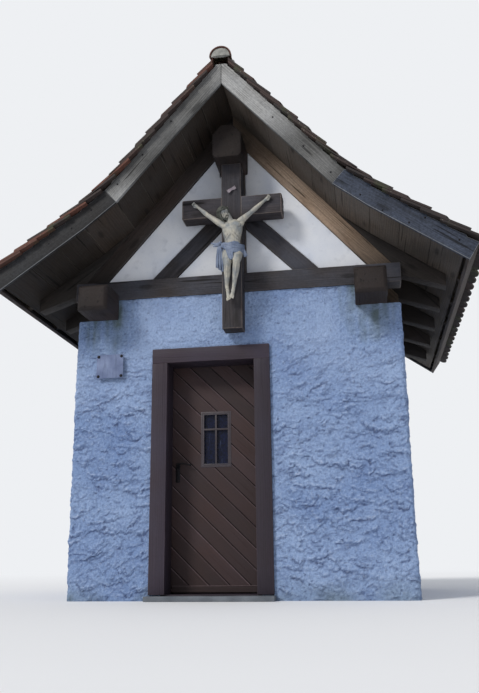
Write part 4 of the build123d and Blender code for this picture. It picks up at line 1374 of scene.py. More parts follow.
beads = join_pieces("window_beads", [
    plain_block("bead", (day_left, bar_front, day_foot), (inner_left, bar_back, day_head)),
    plain_block("bead", (inner_right, bar_front, day_foot), (day_right, bar_back, day_head)),
    plain_block("bead", (inner_left, bar_front, inner_head), (inner_right, bar_back, day_head)),
    plain_block("bead", (inner_left, bar_front, day_foot), (inner_right, bar_back, inner_foot)),
    plain_block("bar", (middle_x - half_bar, bar_front + 0.002, inner_foot),
                (middle_x + half_bar, bar_back, inner_head)),
    plain_block("bar", (inner_left, bar_front + 0.001, cross_z - half_bar),
                (inner_right, bar_back, cross_z + half_bar)),
])
give(beads, bar_wood, bead_edge)
ease_edges(beads, 0.0022, 2)
lay_grain(beads, 122)
window_wood = join_pieces("door_window_wood", [sash, beads])
finish_piece(window_wood, "door", ["door_window_frame"])


def glass_finish():
    """Thin old glass, uneven, with dust and pale runs down it; its deep blue is painted shade and reflection.
    """
    material, tree, where = empty_material("old window glass")
    runs = noise_map(tree, stretch_place(tree, where, (60, 1, 5)), 1.0, 3.0)
    dimple = cell_map(tree, where, 85.0)
    dust = noise_map(tree, where, 40.0, 5.0)
    # deep blue base: painted shade of the dark room behind and painted sky reflection
    colour = blend_colours(tree, spread(tree, dust, 0.35, 0.7), srgb(5, 9, 28), srgb(15, 23, 54))
    colour = tint(tree, colour, runs, 0.64, 0.78, 0.5, srgb(110, 126, 156))
    return finished(material, colour, 0.25, dimple, 0.5, 0.002,
                    {"Specular IOR Level": 0.2, "Transmission Weight": 0.1, "IOR": 1.5})


pane = copy_nodes("door_glass_pane", "door_glass")
pane.data.materials.append(glass_finish())
ease_edges(pane, 0.0005, 1, False, 40)
finish_piece(pane, "door", ["door_glass"])


# Door furniture: forged iron, blackened and a little rusty. The lever turns on a square spindle
# between two plates screwed on with round-headed screws.

def iron_finish():
    material, tree, where = empty_material("blackened iron")
    cloud = noise_map(tree, where, 45.0, 6.0)
    hammer = cell_map(tree, where, 140.0)
    colour = blend_colours(tree, spread(tree, cloud, 0.35, 0.7), srgb(24, 25, 29), srgb(44, 43, 46))
    colour = tint(tree, colour, cloud, 0.62, 0.72, 0.5, srgb(88, 60, 46))
    height = reckon(tree, "ADD", cloud, times(tree, hammer, 0.8))
    rough = spread(tree, cloud, 0.3, 0.7, 0.42, 0.7)
    return finished(material, colour, rough, height, 0.5, 0.001, {"Metallic": 0.85})


black_iron = iron_finish()


def screw_head(place, radius, toward):
    """The low domed head of a screw, a bolt or a nail, facing out of a surface."""
    bpy.ops.mesh.primitive_uv_sphere_add(segments=16, ring_count=8, radius=radius)
    head = bpy.context.object
    cut_planes(head, [((0, 0, 0), (0, 0, 1))], clear_inner=True, use_fill=True)
    head.data.transform(Matrix.Scale(0.45, 4, (0, 0, 1)))
    turn = Vector(toward).to_track_quat("Z", "Y").to_matrix().to_4x4()
    head.data.transform(Matrix.Translation(place) @ turn)
    return head


plates = copy_nodes("handle_plates_body", "door_handle_plates")
ease_edges(plates, 0.0012, 2, False, 30)
plate_parts = [plates]
plate_low, plate_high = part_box("door_handle_plates")
for way, face in ((-1, plate_low.y), (1, plate_high.y)):
    for z in (plate_low.z + 0.012, plate_high.z - 0.010):
        plate_parts.append(screw_head((spindle_x, face, z), 0.0042, (0, way, 0)))
    keyhole = plain_block("keyhole", (spindle_x - 0.002, face - 0.0004, plate_low.z + 0.038),
                          (spindle_x + 0.002, face + 0.0004, plate_low.z + 0.052))
    keyhole.data.transform(Matrix.Translation((0, way * 0.0002, 0)))
    plate_parts.append(keyhole)
    bpy.ops.mesh.primitive_torus_add(major_segments=28, minor_segments=10, major_radius=0.0125,
                                     minor_radius=0.0028, location=(spindle_x, face, spindle_z),
                                     rotation=(math.pi / 2, 0, 0))
    plate_parts.append(bpy.context.object)
furniture = join_pieces("handle_plates_iron", plate_parts)
finish_piece(furniture, "door", ["door_handle_plates"], [black_iron])


def swept_bar(name, stations, corners=3):
    """A round bar through places with a radius at each: a curve given thickness, then a mesh."""
    curve = bpy.data.curves.new(name, "CURVE")
    curve.dimensions = "3D"
    curve.bevel_depth = 1.0
    curve.bevel_resolution = corners
    curve.use_fill_caps = True
    spline = curve.splines.new("NURBS")
    spline.points.add(len(stations) - 1)
    for point, (place, radius) in zip(spline.points, stations):
        point.co = (*place, 1)
        point.radius = radius
    spline.use_endpoint_u = True
    spline.order_u = 3
    spline.resolution_u = 5
    bar = bpy.data.objects.new(name, curve)
    bpy.context.scene.collection.objects.link(bar)
    pick(bar)
    bpy.ops.object.convert(target="MESH")
    bar.data.name = name
    face_outward(bar, 0.00001)
    return bar


lever_parts = [plain_block("spindle", (spindle_x - 0.0045, leaf_front - 0.03, spindle_z - 0.0045),
                           (spindle_x + 0.0045, leaf_back + 0.03, spindle_z + 0.0045))]
for face, way in ((plate_low.y, -1), (plate_high.y, 1)):
    grip_y = face + way * 0.034
    stations = [((spindle_x, face + way * 0.0006, spindle_z), 0.0085),
                ((spindle_x, face + way * 0.012, spindle_z), 0.0068),
                ((spindle_x, grip_y, spindle_z), 0.0066)]
    for out, up, radius in ((0.008, 0.009, 0.0066), (0.026, 0.017, 0.006), (0.05, 0.019, 0.0054),
                            (0.078, 0.014, 0.005), (0.105, 0.008, 0.0054), (0.118, 0.006, 0.0076)):
        stations.append(((spindle_x + out, grip_y, spindle_z + up), radius))
    lever_parts.append(swept_bar("grip", stations))
    bpy.ops.mesh.primitive_uv_sphere_add(segments=20, ring_count=12, radius=0.0095,
                                         location=(spindle_x + 0.121, grip_y, spindle_z + 0.005))
    lever_parts.append(bpy.context.object)
lever = join_pieces("door_lever_iron", lever_parts)
finish_piece(lever, "lever", ["door_lever"], [black_iron])

# strap hinges on the inner face, each strap held by four bolts
straps = copy_nodes("hinge_strap_bars", "door_hinge_straps")
ease_edges(straps, 0.0015, 2, False, 40)
strap_parts = [straps]
strap_low, strap_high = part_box("door_hinge_straps")
first_bolt, bolt_step = 0.03, 0.145
for z in (strap_low.z + 0.021, strap_high.z - 0.021):
    for number in range(4):
        bolt_x = strap_low.x + first_bolt + number * bolt_step
        strap_parts.append(screw_head((bolt_x, leaf_back + 0.006, z), 0.009, (0, 1, 0)))
straps = join_pieces("hinge_straps_iron", strap_parts)
finish_piece(straps, "door", ["door_hinge_straps"], [black_iron])
pins = copy_nodes("hinge_pins_iron", "door_hinge_pins")
ease_edges(pins, 0.001, 2, False, 40)
finish_piece(pins, "chapel", ["door_hinge_pins"], [black_iron])


# Nails of the bargeboards: hand-forged, driven through into the purlins and boards. They stand in
# the same places at the front and the back.

bargeboard_face = 1.98
nail_heads = []
for x, z in ((1.69, 3.07), (1.945, 2.85), (1.561, 3.04), (1.354, 3.17),
             (1.18, 3.33), (0.944, 3.56), (0.72, 3.83), (0.46, 4.14)):
    for side in (-1, 1):
        lift = 0.07 - 0.012 * abs(x - 1.2) if side > 0 else 0
        for way in (-1, 1):
            nail_heads.append(screw_head((side * x, way * bargeboard_face, z - lift), 0.0085, (0, way, 0)))
nail_heads = join_pieces("bargeboard_nails", nail_heads)
finish_piece(nail_heads, "chapel", [], [black_iron])


# Sign plate: a bare enamelled sheet on the wall left of the door, held off it by four screws. Rain
# has run down it.

def enamel_finish():
    material, tree, where = empty_material("old enamel")
    cloud = noise_map(tree, where, 11.0, 6.0)
    runs = noise_map(tree, stretch_place(tree, where, (60, 60, 6)), 1.0, 4.0)
    colour = blend_colours(tree, spread(tree, cloud, 0.35, 0.65), srgb(96, 108, 140), srgb(120, 133, 164))
    colour = tint(tree, colour, runs, 0.55, 0.75, 0.6, srgb(66, 76, 102))
    return finished(material, colour, 0.7, shares={"Specular IOR Level": 0.25})


sign_face = -1.440
sign_low, sign_high = (-1.268, sign_face, 1.922), (-1.017, -1.436, 2.141)
sign_inset = 0.018
sign = plain_block("bare_sign_plate", sign_low, sign_high)
sign.data.materials.append(enamel_finish())
ease_edges(sign, 0.0016, 2, False)
for x in (sign_low[0] + sign_inset, sign_high[0] - sign_inset):
    for z in (sign_low[2] + sign_inset, sign_high[2] - sign_inset):
        bpy.ops.mesh.primitive_cylinder_add(vertices=20, radius=0.008, depth=0.05, location=(x, -1.412, z),
                                            rotation=(math.pi / 2, 0, 0))
        stud = bpy.context.object
        for part in (stud, screw_head((x, sign_face, z), 0.014, (0, -1, 0))):
            part.data.materials.append(black_iron)
            sign = join_pieces("bare_sign_plate", [sign, part])
finish_piece(sign, "chapel", [])


# Step and floor: a worn sandstone sill under the door, and big flags inside, each row set half a
# flag over.

def stone_finish(name, pale, dark):
    material, tree, where = empty_material(name)
    cloud = noise_map(tree, where, 6.0, 7.0)
    grit = noise_map(tree, where, 130.0, 4.0)
    colour = blend_colours(tree, spread(tree, cloud, 0.32, 0.68), pale, dark)
    colour = tint(tree, colour, grit, 0.55, 0.72, 0.5, srgb(92, 92, 92))
    height = reckon(tree, "ADD", cloud, times(tree, grit, 0.6))
    return finished(material, colour, 0.9, height, 0.7, 0.004)


def hewn_stone(name, node, edge, spacing, depth, finish):
    stone = copy_nodes(name, node)
    ease_edges(stone, edge, 3, worn=False)
    low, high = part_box(node)
    planes = []
    for axis in (0, 1):
        count = round((high[axis] - low[axis]) / spacing)
        for number in range(1, count):
            spot, way = Vector(low), Vector()
            spot[axis] += (high[axis] - low[axis]) * number / count
            way[axis] = 1
            planes.append((spot, way))
    cut_planes(stone, planes)
    roughen(stone, depth, 7.0)
    finish_piece(stone, "chapel", [node], [finish])


hewn_stone("door_step_sill", "door_step", 0.005, 0.05, 0.0018,
           stone_finish("sandstone sill", srgb(110, 116, 124), srgb(76, 82, 90)))
flag_stone = stone_finish("floor flags", srgb(128, 124, 118), srgb(92, 90, 86))
flags = []
floor_low, floor_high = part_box("floor_slab")
flag_wide = (floor_high.x - floor_low.x) / 4
flag_long = (floor_high.y - floor_low.y) / 4
half_joint = 0.002
for row in range(4):
    for column in range(5):
        left = floor_low.x + (column - 0.5 * (row % 2)) * flag_wide
        right = min(left + flag_wide, floor_high.x)
        left = max(left, floor_low.x)
        if right - left > 0.01:
            front = floor_low.y + row * flag_long
            flags.append(plain_block("flag", (left + half_joint, front + half_joint, 0),
                                     (right - half_joint, front + flag_long - half_joint, floor_high.z)))
flags = join_pieces("floor_flags", flags)
ease_edges(flags, 0.005, 2, worn=False)
finish_piece(flags, "chapel", ["floor_slab"], [flag_stone])


# Cross: a post and an arm halved together flush, of dark oiled wood, checked along the grain and
# worn pale on the arrises. The post hangs from the ridge purlin and is bolted to the tie beam.

cross_wood = wood_finish("cross wood", srgb(32, 29, 31), srgb(62, 56, 57), srgb(68, 72, 84), 0.45, 0.016,
                         0.003)
cross_arris = wood_finish("cross arris", srgb(66, 58, 56), srgb(108, 98, 92), srgb(104, 104, 108), 0.4)
hewn_timber("cross_post_timber", ["cross_post"], [cross_wood, cross_arris], edge=0.006,
            depth=0.0014, seed=131, spacing=0.09)
hewn_timber("cross_arm_timber", ["cross_arm"], [cross_wood, cross_arris], edge=0.006,
            depth=0.0014, seed=132, spacing=0.09)


# Carved figure: limewood, its limbs carved apart and pegged on, painted in pale flesh colour with a
# grey-blue cloth. The paint has weathered: grime and painted shade in the hollows, bare grey wood
# where it has flaked.

cross_face = -1.59


def clay_ball(centre, radii, turn=(0, 0, 0)):
    """An egg-shaped lump with three radii."""
    bpy.ops.mesh.primitive_uv_sphere_add(segments=28, ring_count=18, radius=1)
    lump = bpy.context.object
    spin = Matrix.Identity(4)
    for axis, angle in zip("ZYX", reversed(turn)):
        spin = spin @ Matrix.Rotation(math.radians(angle), 4, axis)
    lump.data.transform(Matrix.Translation(centre) @ spin @ Matrix.Diagonal((*radii, 1)))
    return lump


def clay_roll(stations, flat=1.0):
    """A round roll through places with radii, flattened from front to back about its own middle."""
    roll = swept_bar("roll", stations, corners=4)
    middle = sum(place[1] for place, radius in stations) / len(stations)
    if flat != 1.0:
        for vertex in roll.data.vertices:
            vertex.co.y = middle + (vertex.co.y - middle) * flat
    return roll


def blend_lumps(name, lumps, voxel, rounds, triangles):
    """Joins overlapping lumps into one solid skin and rubs it smooth."""
    piece = join_pieces(name, lumps)
    apply_modifier(piece, "REMESH", mode="VOXEL", voxel_size=voxel, adaptivity=0.0)
    apply_modifier(piece, "SMOOTH", factor=0.5, iterations=rounds)
    apply_modifier(piece, "DECIMATE", ratio=min(1.0, triangles / (2 * len(piece.data.polygons))))
    return piece


def mark_hollows(piece, strength):
    """Writes how sunken each place of a skin is, for the grime and painted shade in its hollows, and how
    proud it is.
    """
    mesh = piece.data
    count = len(mesh.vertices)
    places = numpy.empty(count * 3)
    mesh.vertices.foreach_get("co", places)
    places = places.reshape(-1, 3)
    ways = numpy.empty(count * 3)
    mesh.vertices.foreach_get("normal", ways)
    ways = ways.reshape(-1, 3)
    edges = numpy.empty(len(mesh.edges) * 2, dtype=numpy.int64)
    mesh.edges.foreach_get("vertices", edges)
    first, second = edges.reshape(-1, 2).T
    degree = numpy.bincount(first, minlength=count) + numpy.bincount(second, minlength=count)
    degree = numpy.maximum(degree, 1)[:, None]

    def spread_out(values):
        total = numpy.zeros_like(values)
        numpy.add.at(total, first, values[second])
        numpy.add.at(total, second, values[first])
        return total / degree

    around = places
    for step in range(3):
        around = spread_out(around)
    depth = ((around - places) * ways).sum(axis=1)[:, None]
    depth = spread_out(depth)[:, 0] * strength
    painted_shading = mesh.attributes.new("painted_shading", "FLOAT", "POINT")
    proud = mesh.attributes.new("proud", "FLOAT", "POINT")
    painted_shading.data.foreach_set("value", numpy.clip(depth * 900, 0, 1))
    proud.data.foreach_set("value", numpy.clip(-depth * 600, 0, 1))


def paint_finish(name, pale, deep, dirt_and_shade, bare, chips):
    """Old oil paint on wood: grime and painted shade in the hollows, and flakes gone down to grey wood."""
    material, tree, where = empty_material(name)
    cloud = noise_map(tree, where, 16.0, 5.0)
    fleck = noise_map(tree, where, 75.0, 5.0, 0.65)
    streak = noise_map(tree, stretch_place(tree, where, (90, 90, 14)), 1.0, 4.0)
    colour = blend_colours(tree, spread(tree, cloud, 0.36, 0.66), pale, deep)
    colour = tint(tree, colour, streak, 0.54, 0.72, 0.4, dirt_and_shade)
    painted_shading = written(tree, "painted_shading")
    # grime and painted shade in the hollows
    colour = blend_colours(tree, times(tree, painted_shading, 0.85), colour, dirt_and_shade)
    flaked = spread(tree, fleck, 0.66 - chips, 0.70 - chips)
    colour = blend_colours(tree, times(tree, flaked, 0.8), colour, bare)
    height = reckon(tree, "SUBTRACT", times(tree, fleck, 0.3), times(tree, flaked, 0.6))
    return finished(material, colour, 0.62, height, 0.6, 0.0015)


flesh_paint = paint_finish("weathered flesh paint", srgb(172, 168, 156), srgb(124, 129, 132),
                           srgb(62, 62, 66), srgb(84, 80, 78), 0.02)
cloth_paint = paint_finish("weathered cloth paint", srgb(118, 130, 152), srgb(84, 98, 124), srgb(44, 52, 68),
                           srgb(130, 130, 128), 0.0)
hair_paint = paint_finish("weathered hair paint", srgb(84, 86, 78), srgb(56, 60, 56), srgb(26, 28, 28),
                          srgb(120, 120, 108), 0.04)
ribbon_paint = paint_finish("weathered ribbon paint", srgb(150, 140, 148), srgb(116, 108, 118),
                            srgb(62, 58, 66), srgb(90, 84, 82), 0.01)

# trunk, arms and legs, then the hands and feet in finer lumps
trunk = [
    clay_roll((((0.026, -1.646, 3.275), 0.045), ((0.032, -1.646, 3.235), 0.088),
               ((0.034, -1.650, 3.18), 0.096), ((0.034, -1.650, 3.12), 0.080),
               ((0.034, -1.650, 3.065), 0.068), ((0.034, -1.648, 3.01), 0.080),
               ((0.036, -1.648, 2.95), 0.084), ((0.036, -1.650, 2.91), 0.06)), 0.62),
    clay_ball((0.034, -1.660, 3.165), (0.074, 0.050, 0.075)),
    clay_ball((-0.004, -1.686, 3.213), (0.042, 0.016, 0.026), (0, -14, 0)),
    clay_ball((0.074, -1.686, 3.221), (0.042, 0.016, 0.026), (0, 14, 0)),
    clay_ball((0.036, -1.664, 3.045), (0.046, 0.030, 0.045)),
    clay_roll((((0.020, -1.650, 3.25), 0.036), ((0.010, -1.660, 3.29), 0.028),
               ((-0.010, -1.672, 3.33), 0.026))),
]
for side in (-1, 1):
    # the breast muscle running out to the arm, and the arch under the ribs
    trunk.append(clay_roll((((0.034 + side * 0.050, -1.655, 3.205), 0.030),
                            ((0.030 + side * 0.092, -1.647, 3.235), 0.027),
                            ((0.028 + side * 0.100, -1.640, 3.258 + side * 0.010), 0.018))))
    trunk.append(clay_roll((((0.034 + side * 0.006, -1.700, 3.140), 0.007),
                            ((0.034 + side * 0.034, -1.693, 3.108), 0.009),
                            ((0.034 + side * 0.058, -1.670, 3.080), 0.009))))
    trunk.append(clay_ball((0.034 + side * 0.044, -1.668, 3.135), (0.030, 0.026, 0.032)))
fingers = []
hands = []
for shoulder, elbow, wrist, palm in (
    ((-0.066, -1.643, 3.248), (-0.194, -1.632, 3.352), (-0.284, -1.612, 3.444), (-0.318, -1.607, 3.474)),
    ((0.112, -1.643, 3.270), (0.212, -1.632, 3.356), (0.321, -1.612, 3.460), (0.355, -1.607, 3.488)),
):
    shoulder, elbow, wrist, palm = (Vector(place) for place in (shoulder, elbow, wrist, palm))
    inner = Vector((0.034, -1.645, 3.235)).lerp(shoulder, 0.35)
    trunk.append(clay_roll(((inner, 0.020), (inner.lerp(shoulder, 0.6), 0.028), (shoulder, 0.0315),
                            (shoulder.lerp(elbow, 0.18), 0.0310), (shoulder.lerp(elbow, 0.4), 0.0275),
                            (shoulder.lerp(elbow, 0.7), 0.0230), (elbow, 0.0205),
                            (elbow.lerp(wrist, 0.25), 0.0222), (elbow.lerp(wrist, 0.5), 0.0195),
                            (elbow.lerp(wrist, 0.8), 0.0155), (wrist, 0.0140),
                            (wrist.lerp(palm, 0.4), 0.0125))))
    along = (palm - wrist).normalized()
    across = Vector((-along.z, 0, along.x))
    turn = 1 if along.x < 0 else -1
    fingers.append(clay_roll(((elbow.lerp(wrist, 0.75), 0.0090), (wrist, 0.0118),
                              (wrist.lerp(palm, 0.4), 0.0150), (wrist.lerp(palm, 0.9), 0.0175),
                              (palm + along * 0.008, 0.0140))))
    for number in range(4):
        root = palm + across * (0.001 + (number - 1.5) * 0.0080) + along * (0.006 - 0.002 * abs(number - 1.5))
        curl = root + along * (0.010 - number * 0.0012)
        fingers.append(clay_roll(((root - along * 0.008, 0.0058),
                                  (root + along * 0.016 + Vector((0, -0.005, 0)), 0.0056),
                                  (root + along * 0.023 + Vector((0, -0.018, 0)), 0.0052),
                                  (curl + Vector((0, -0.026, 0)), 0.0046))))
    thumb = wrist.lerp(palm, 0.5)
    fingers.append(clay_roll(((thumb + across * 0.006 * turn, 0.008),
                              (thumb + across * 0.022 * turn + along * 0.010, 0.0064),
                              (thumb + across * 0.021 * turn + along * 0.026 + Vector((0, -0.010, 0)),
                               0.0052))))
    hands.append(wrist.lerp(palm, 0.8))
for hip, knee, ankle, heel, toe in (
    ((-0.008, -1.650, 2.965), (-0.004, -1.712, 2.828), (-0.020, -1.650, 2.650), (-0.012, -1.650, 2.605),
     (0.000, -1.656, 2.520)),
    ((0.078, -1.650, 2.965), (0.080, -1.716, 2.852), (0.048, -1.662, 2.655), (0.040, -1.664, 2.615),
     (0.026, -1.672, 2.532)),
):
    hip, knee, ankle, heel, toe = (Vector(place) for place in (hip, knee, ankle, heel, toe))
    calf = (ankle - knee).normalized()
    trunk.append(clay_roll(((hip, 0.052), (hip.lerp(knee, 0.35), 0.050), (hip.lerp(knee, 0.7), 0.042),
                            (knee, 0.034), (knee + calf * 0.012, 0.032),
                            (knee.lerp(ankle, 0.22) + Vector((0, 0.006, 0)), 0.033),
                            (knee.lerp(ankle, 0.42) + Vector((0, 0.008, 0)), 0.031),
                            (knee.lerp(ankle, 0.7), 0.022), (knee.lerp(ankle, 0.9), 0.0182),
                            (ankle, 0.0176), (ankle.lerp(heel, 0.7), 0.0165))))
    trunk.append(clay_ball(knee + Vector((0, -0.014, -0.002)), (0.021, 0.018, 0.024)))
    trunk.append(clay_roll(((knee + Vector((0.002, -0.022, -0.026)), 0.008),
                            (knee.lerp(ankle, 0.55) + Vector((0.003, -0.021, 0)), 0.007),
                            (ankle + Vector((0, -0.010, 0)), 0.006))))
    for side in (-1, 1):
        fingers.append(clay_ball(ankle + Vector((side * 0.0105, 0.002, side * 0.002)),
                                 (0.0060, 0.009, 0.012)))
    fingers.append(clay_roll(((ankle + Vector((0, 0.002, 0.030)), 0.0040), (ankle, 0.0128),
                              (heel + Vector((0, 0.004, 0)), 0.0172), (heel.lerp(toe, 0.4), 0.0165),
                              (heel.lerp(toe, 0.75), 0.0190), (heel.lerp(toe, 0.95), 0.0130))))
    down = (toe - heel).normalized()
    turn = -1 if hip.x > 0.03 else 1
    for number in range(5):
        out = (number - 2) * 0.0074 * turn
        root = heel.lerp(toe, 0.80) + Vector((out, -0.006, 0.0025 * number))
        thick = 0.0064 if number == 0 else 0.0050
        fingers.append(clay_roll(((root, thick),
                                  (root + down * 0.018 + Vector((out * 0.1, -0.003, 0)), thick * 0.95),
                                  (root + down * (0.028 - 0.002 * number), thick * 0.8))))
flesh = join_pieces("figure_trunk", [blend_lumps("body", trunk, 0.003, 9, 50000),
                                     blend_lumps("fingers", fingers, 0.0017, 3, 30000)])

# head: bowed to its right, turned down, built on the usual proportions of a carver's model
head_middle = Vector((-0.036, -1.678, 3.338))
head_turn = Matrix.Rotation(math.radians(22), 4, "Z") @ Matrix.Rotation(math.radians(-27), 4, "Y")
head_turn = head_turn @ Matrix.Rotation(math.radians(20), 4, "X")
half_head = 0.066


def head_ball(place, radii, turn=(0, 0, 0)):
    """A lump of the head: places and radii in half heights of the head, the face toward -Y."""
    return clay_ball(Vector(place) * half_head, Vector(radii) * half_head, turn)


def head_roll(stations):
    return clay_roll([(Vector(place) * half_head, radius * half_head) for place, radius in stations])


face_lumps = [
    head_ball((0, 0.12, 0.28), (0.66, 0.80, 0.72)),
    head_ball((0, -0.22, -0.22), (0.52, 0.50, 0.66)),
    head_ball((0, -0.38, -0.62), (0.27, 0.28, 0.26)),
    head_ball((0, -0.56, 0.34), (0.46, 0.16, 0.26)),
    head_roll((((0, -0.68, 0.08), 0.065), ((0, -0.80, -0.10), 0.085), ((0, -0.86, -0.26), 0.10))),
    head_ball((-0.10, -0.74, -0.27), (0.075, 0.085, 0.06)),
    head_ball((0.10, -0.74, -0.27), (0.075, 0.085, 0.06)),
    head_roll((((-0.13, -0.68, -0.445), 0.045), ((0, -0.73, -0.43), 0.05), ((0.13, -0.68, -0.445), 0.045))),
    head_roll((((-0.11, -0.67, -0.515), 0.045), ((0, -0.715, -0.525), 0.055),
               ((0.11, -0.67, -0.515), 0.045))),
]
for side in (-1, 1):
    face_lumps.append(head_roll((((side * 0.08, -0.66, 0.13), 0.05), ((side * 0.26, -0.68, 0.17), 0.06),
                                 ((side * 0.46, -0.55, 0.10), 0.05))))
    face_lumps.append(head_ball((side * 0.25, -0.60, 0.00), (0.135, 0.10, 0.085)))
    face_lumps.append(head_ball((side * 0.36, -0.48, -0.20), (0.16, 0.16, 0.14)))
face = blend_lumps("figure_face", face_lumps, 0.0013, 3, 16000)

beard_lumps = [head_ball((0, -0.42, -0.80), (0.30, 0.26, 0.26))]
for side in (-1, 1):
    beard_lumps.append(head_roll((((side * 0.52, -0.12, -0.10), 0.09), ((side * 0.48, -0.26, -0.46), 0.14),
                                  ((side * 0.24, -0.44, -0.80), 0.17), ((side * 0.12, -0.50, -1.12), 0.08))))
    beard_lumps.append(head_roll((((0, -0.77, -0.37), 0.05), ((side * 0.17, -0.72, -0.42), 0.06),
                                  ((side * 0.30, -0.60, -0.60), 0.06), ((side * 0.27, -0.55, -0.80), 0.05))))
    for number in range(5):
        lean = 0.06 + number * 0.09
        beard_lumps.append(head_roll((((side * lean, -0.64 + number * 0.05, -0.64), 0.055),
                                      ((side * (lean + 0.03), -0.66 + number * 0.07, -0.86), 0.05),
                                      ((side * (lean * 0.6 + 0.05), -0.58 + number * 0.04,
                                        -1.08 + number * 0.05), 0.03))))
hair_lumps = [
    head_ball((0, 0.20, 0.42), (0.72, 0.84, 0.64)),
    head_ball((0, 0.45, 0.0), (0.64, 0.60, 0.72)),
]
dice = random.Random(141)
for side in (-1, 1):
    for number in range(9):
        back = -0.30 + number * 0.15
        wave = dice.uniform(-0.05, 0.05)
        hair_lumps.append(head_roll((
            ((side * 0.08, back - 0.12, 1.00 - abs(back) * 0.2), 0.07),
            ((side * (0.50 + wave), back - 0.10, 0.62), 0.09),
            ((side * (0.70 - wave), back, 0.10), 0.10),
            ((side * (0.66 + wave), back + 0.05, -0.40), 0.11),
            ((side * (0.60 - wave), back + 0.02, -0.88 - wave), 0.09),
            ((side * (0.52 + wave), back - 0.10, -1.18 + abs(back) * 0.2), 0.045),
        )))
hair = blend_lumps("figure_hair", beard_lumps + hair_lumps, 0.0015, 2, 34000)

crown_lumps = []
for strand in range(3):
    stations = []
    for step in range(25):
        angle = math.tau * step / 24
        wave = math.tau * strand / 3 + angle * 7
        reach = 0.82 + 0.075 * math.cos(wave)
        stations.append(((reach * 0.92 * math.sin(angle), 0.10 - reach * math.cos(angle) * 1.02,
                          0.52 + 0.075 * math.sin(wave) + 0.05 * math.cos(angle)), 0.062))
    crown_lumps.append(head_roll(stations))
for number in range(22):
    angle = math.tau * number / 22 + dice.uniform(-0.1, 0.1)
    root = Vector((0.78 * math.sin(angle), 0.10 - 0.86 * math.cos(angle), 0.52))
    tip = root * 1.10 + Vector((dice.uniform(-0.1, 0.1), dice.uniform(-0.1, 0.1),
                                dice.choice((-0.16, 0.17, 0.2))))
    crown_lumps.append(head_roll(((root, 0.035), (root.lerp(tip, 0.5), 0.022), (tip, 0.006))))
crown = join_pieces("figure_crown", crown_lumps)
for piece in (face, hair, crown):
    piece.data.transform(Matrix.Translation(head_middle) @ head_turn)

# cloth: wrapped round the hips and knotted on the left, with one end hanging from the knot
cloth_lumps = [
    clay_roll((((0.022, -1.650, 3.050), 0.072), ((0.030, -1.650, 3.015), 0.088),
               ((0.036, -1.650, 2.97), 0.094), ((0.044, -1.650, 2.935), 0.080)), 0.68),
]
for number in range(6):
    # folds from the knot, fanning out over the belly to the right hip
    lift = number / 5
    sway = 0.004 * math.sin(number * 2.3)
    cloth_lumps.append(clay_roll((
        ((-0.078, -1.650, 3.044 - lift * 0.010), 0.010), ((-0.046, -1.700, 3.040 - lift * 0.034), 0.0075),
        ((0.004, -1.722, 3.026 - lift * 0.066 + sway), 0.0080),
        ((0.062, -1.724, 3.008 - lift * 0.072 - sway), 0.0085),
        ((0.112, -1.694, 3.012 - lift * 0.068), 0.0090), ((0.138, -1.650, 3.022 - lift * 0.060), 0.009),
    )))
for number in range(5):
    # the lap that hangs between the thighs
    lean = number / 4
    cloth_lumps.append(clay_roll((
        ((-0.020 + lean * 0.060, -1.712, 2.990), 0.009), ((0.004 + lean * 0.040, -1.728, 2.940), 0.0080),
        ((0.012 + lean * 0.038, -1.722 + 0.006 * math.sin(number * 3),
          2.884 - 0.016 * math.sin(lean * 3)), 0.0065),
    )))
# the knot, its loose tip, and the hanging end
knot = Vector((-0.095, -1.668, 3.040))
cloth_lumps += [
    clay_ball(knot, (0.026, 0.022, 0.020), (0, 25, 0)),
    clay_ball(knot + Vector((0.020, -0.010, 0.012)), (0.022, 0.016, 0.014), (0, -30, 0)),
    clay_roll(((knot, 0.013), (knot + Vector((-0.030, -0.006, 0.008)), 0.012),
               (knot + Vector((-0.062, 0.0, 0.022)), 0.006))),
    clay_roll(((knot, 0.013), (knot + Vector((-0.024, -0.004, -0.012)), 0.010),
               (knot + Vector((-0.046, 0.0, -0.010)), 0.005))),
]
for number in range(7):
    lean = number / 6
    swing = 0.004 * (-1) ** number
    foot_z = 2.812 + 0.030 * abs(lean - 0.7) - 0.035 * lean
    cloth_lumps.append(clay_roll((
        ((knot.x + 0.006 + lean * 0.012, -1.668, 3.030), 0.010),
        ((-0.100 + lean * 0.050, -1.672 + swing, 2.960), 0.0105),
        ((-0.108 + lean * 0.066, -1.662 + swing * 1.6, 2.880), 0.0100),
        ((-0.112 + lean * 0.074, -1.654 + swing * 2, foot_z), 0.0085),
    )))
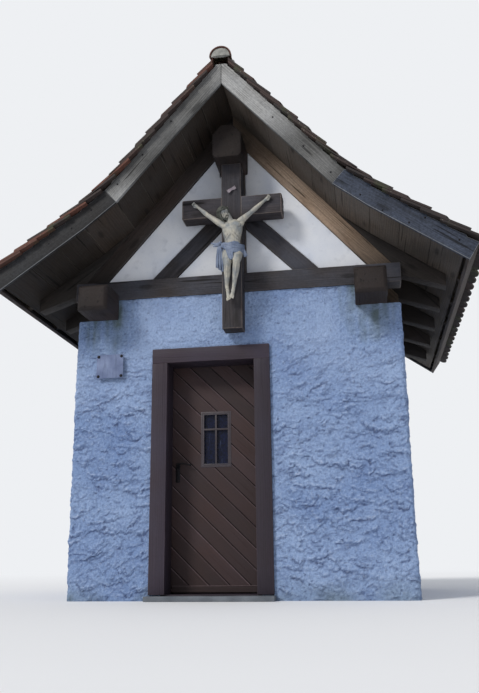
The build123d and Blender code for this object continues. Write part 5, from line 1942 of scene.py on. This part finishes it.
# the other end, tucked through the belt on the right
for number in range(4):
    lean = number / 3
    cloth_lumps.append(clay_roll((
        ((0.122, -1.660, 3.010), 0.010), ((0.138 + lean * 0.010, -1.658, 2.960), 0.010),
        ((0.142 + lean * 0.022, -1.650, 2.912 + lean * 0.010), 0.008),
    )))
cloth = blend_lumps("figure_cloth", cloth_lumps, 0.0023, 4, 30000)

# the bare carved ribbon over the head, its two ends rolled forward
bpy.ops.mesh.primitive_grid_add(x_subdivisions=40, y_subdivisions=8, size=1)
ribbon = bpy.context.object
for vertex in ribbon.data.vertices:
    along, across = vertex.co.x * 2, vertex.co.y * 2
    roll = max(abs(along) - 0.62, 0) * 7.5
    x = math.copysign(min(abs(along), 0.62) * 0.056 + 0.0068 * math.sin(roll), along)
    y = -0.0068 * (1 - math.cos(roll)) + 0.006 * math.sin(along * 4.2)
    vertex.co = (x, y,
                 across * 0.0155 * (1 - 0.12 * math.cos(along * 5)) + 0.005 * math.sin(along * 3.6 + 0.5))
apply_modifier(ribbon, "SOLIDIFY", thickness=0.004, offset=0)
apply_modifier(ribbon, "SUBSURF", levels=1)
ribbon.data.transform(Matrix.Translation((0.021, -1.602, 3.609)) @ Matrix.Rotation(math.radians(-25), 4, "Y"))

nails = []
for place in (*hands, Vector((0.018, -1.668, 2.585))):
    nails.append(screw_head(place + Vector((0, -0.012, 0)), 0.006, (0, -1, 0)))
nails = join_pieces("figure_nails", nails)
for piece, paint, strength in ((flesh, flesh_paint, 1.6), (face, flesh_paint, 2.5), (hair, hair_paint, 2.0),
                               (cloth, cloth_paint, 1.5), (crown, hair_paint, 1.0), (nails, black_iron, 1.0),
                               (ribbon, ribbon_paint, 1.0)):
    piece.data.materials.clear()
    piece.data.materials.append(paint)
    for vertex in piece.data.vertices:
        vertex.co.y = min(vertex.co.y, cross_face)
    mark_hollows(piece, strength)
ribbon.name = ribbon.data.name = "carved_ribbon"
finish_piece(ribbon, "chapel", [], smooth=60)
figure = join_pieces("carved_figure_painted", [flesh, face, hair, cloth, crown, nails])
finish_piece(figure, "chapel", ["carved_figure"], smooth=60)
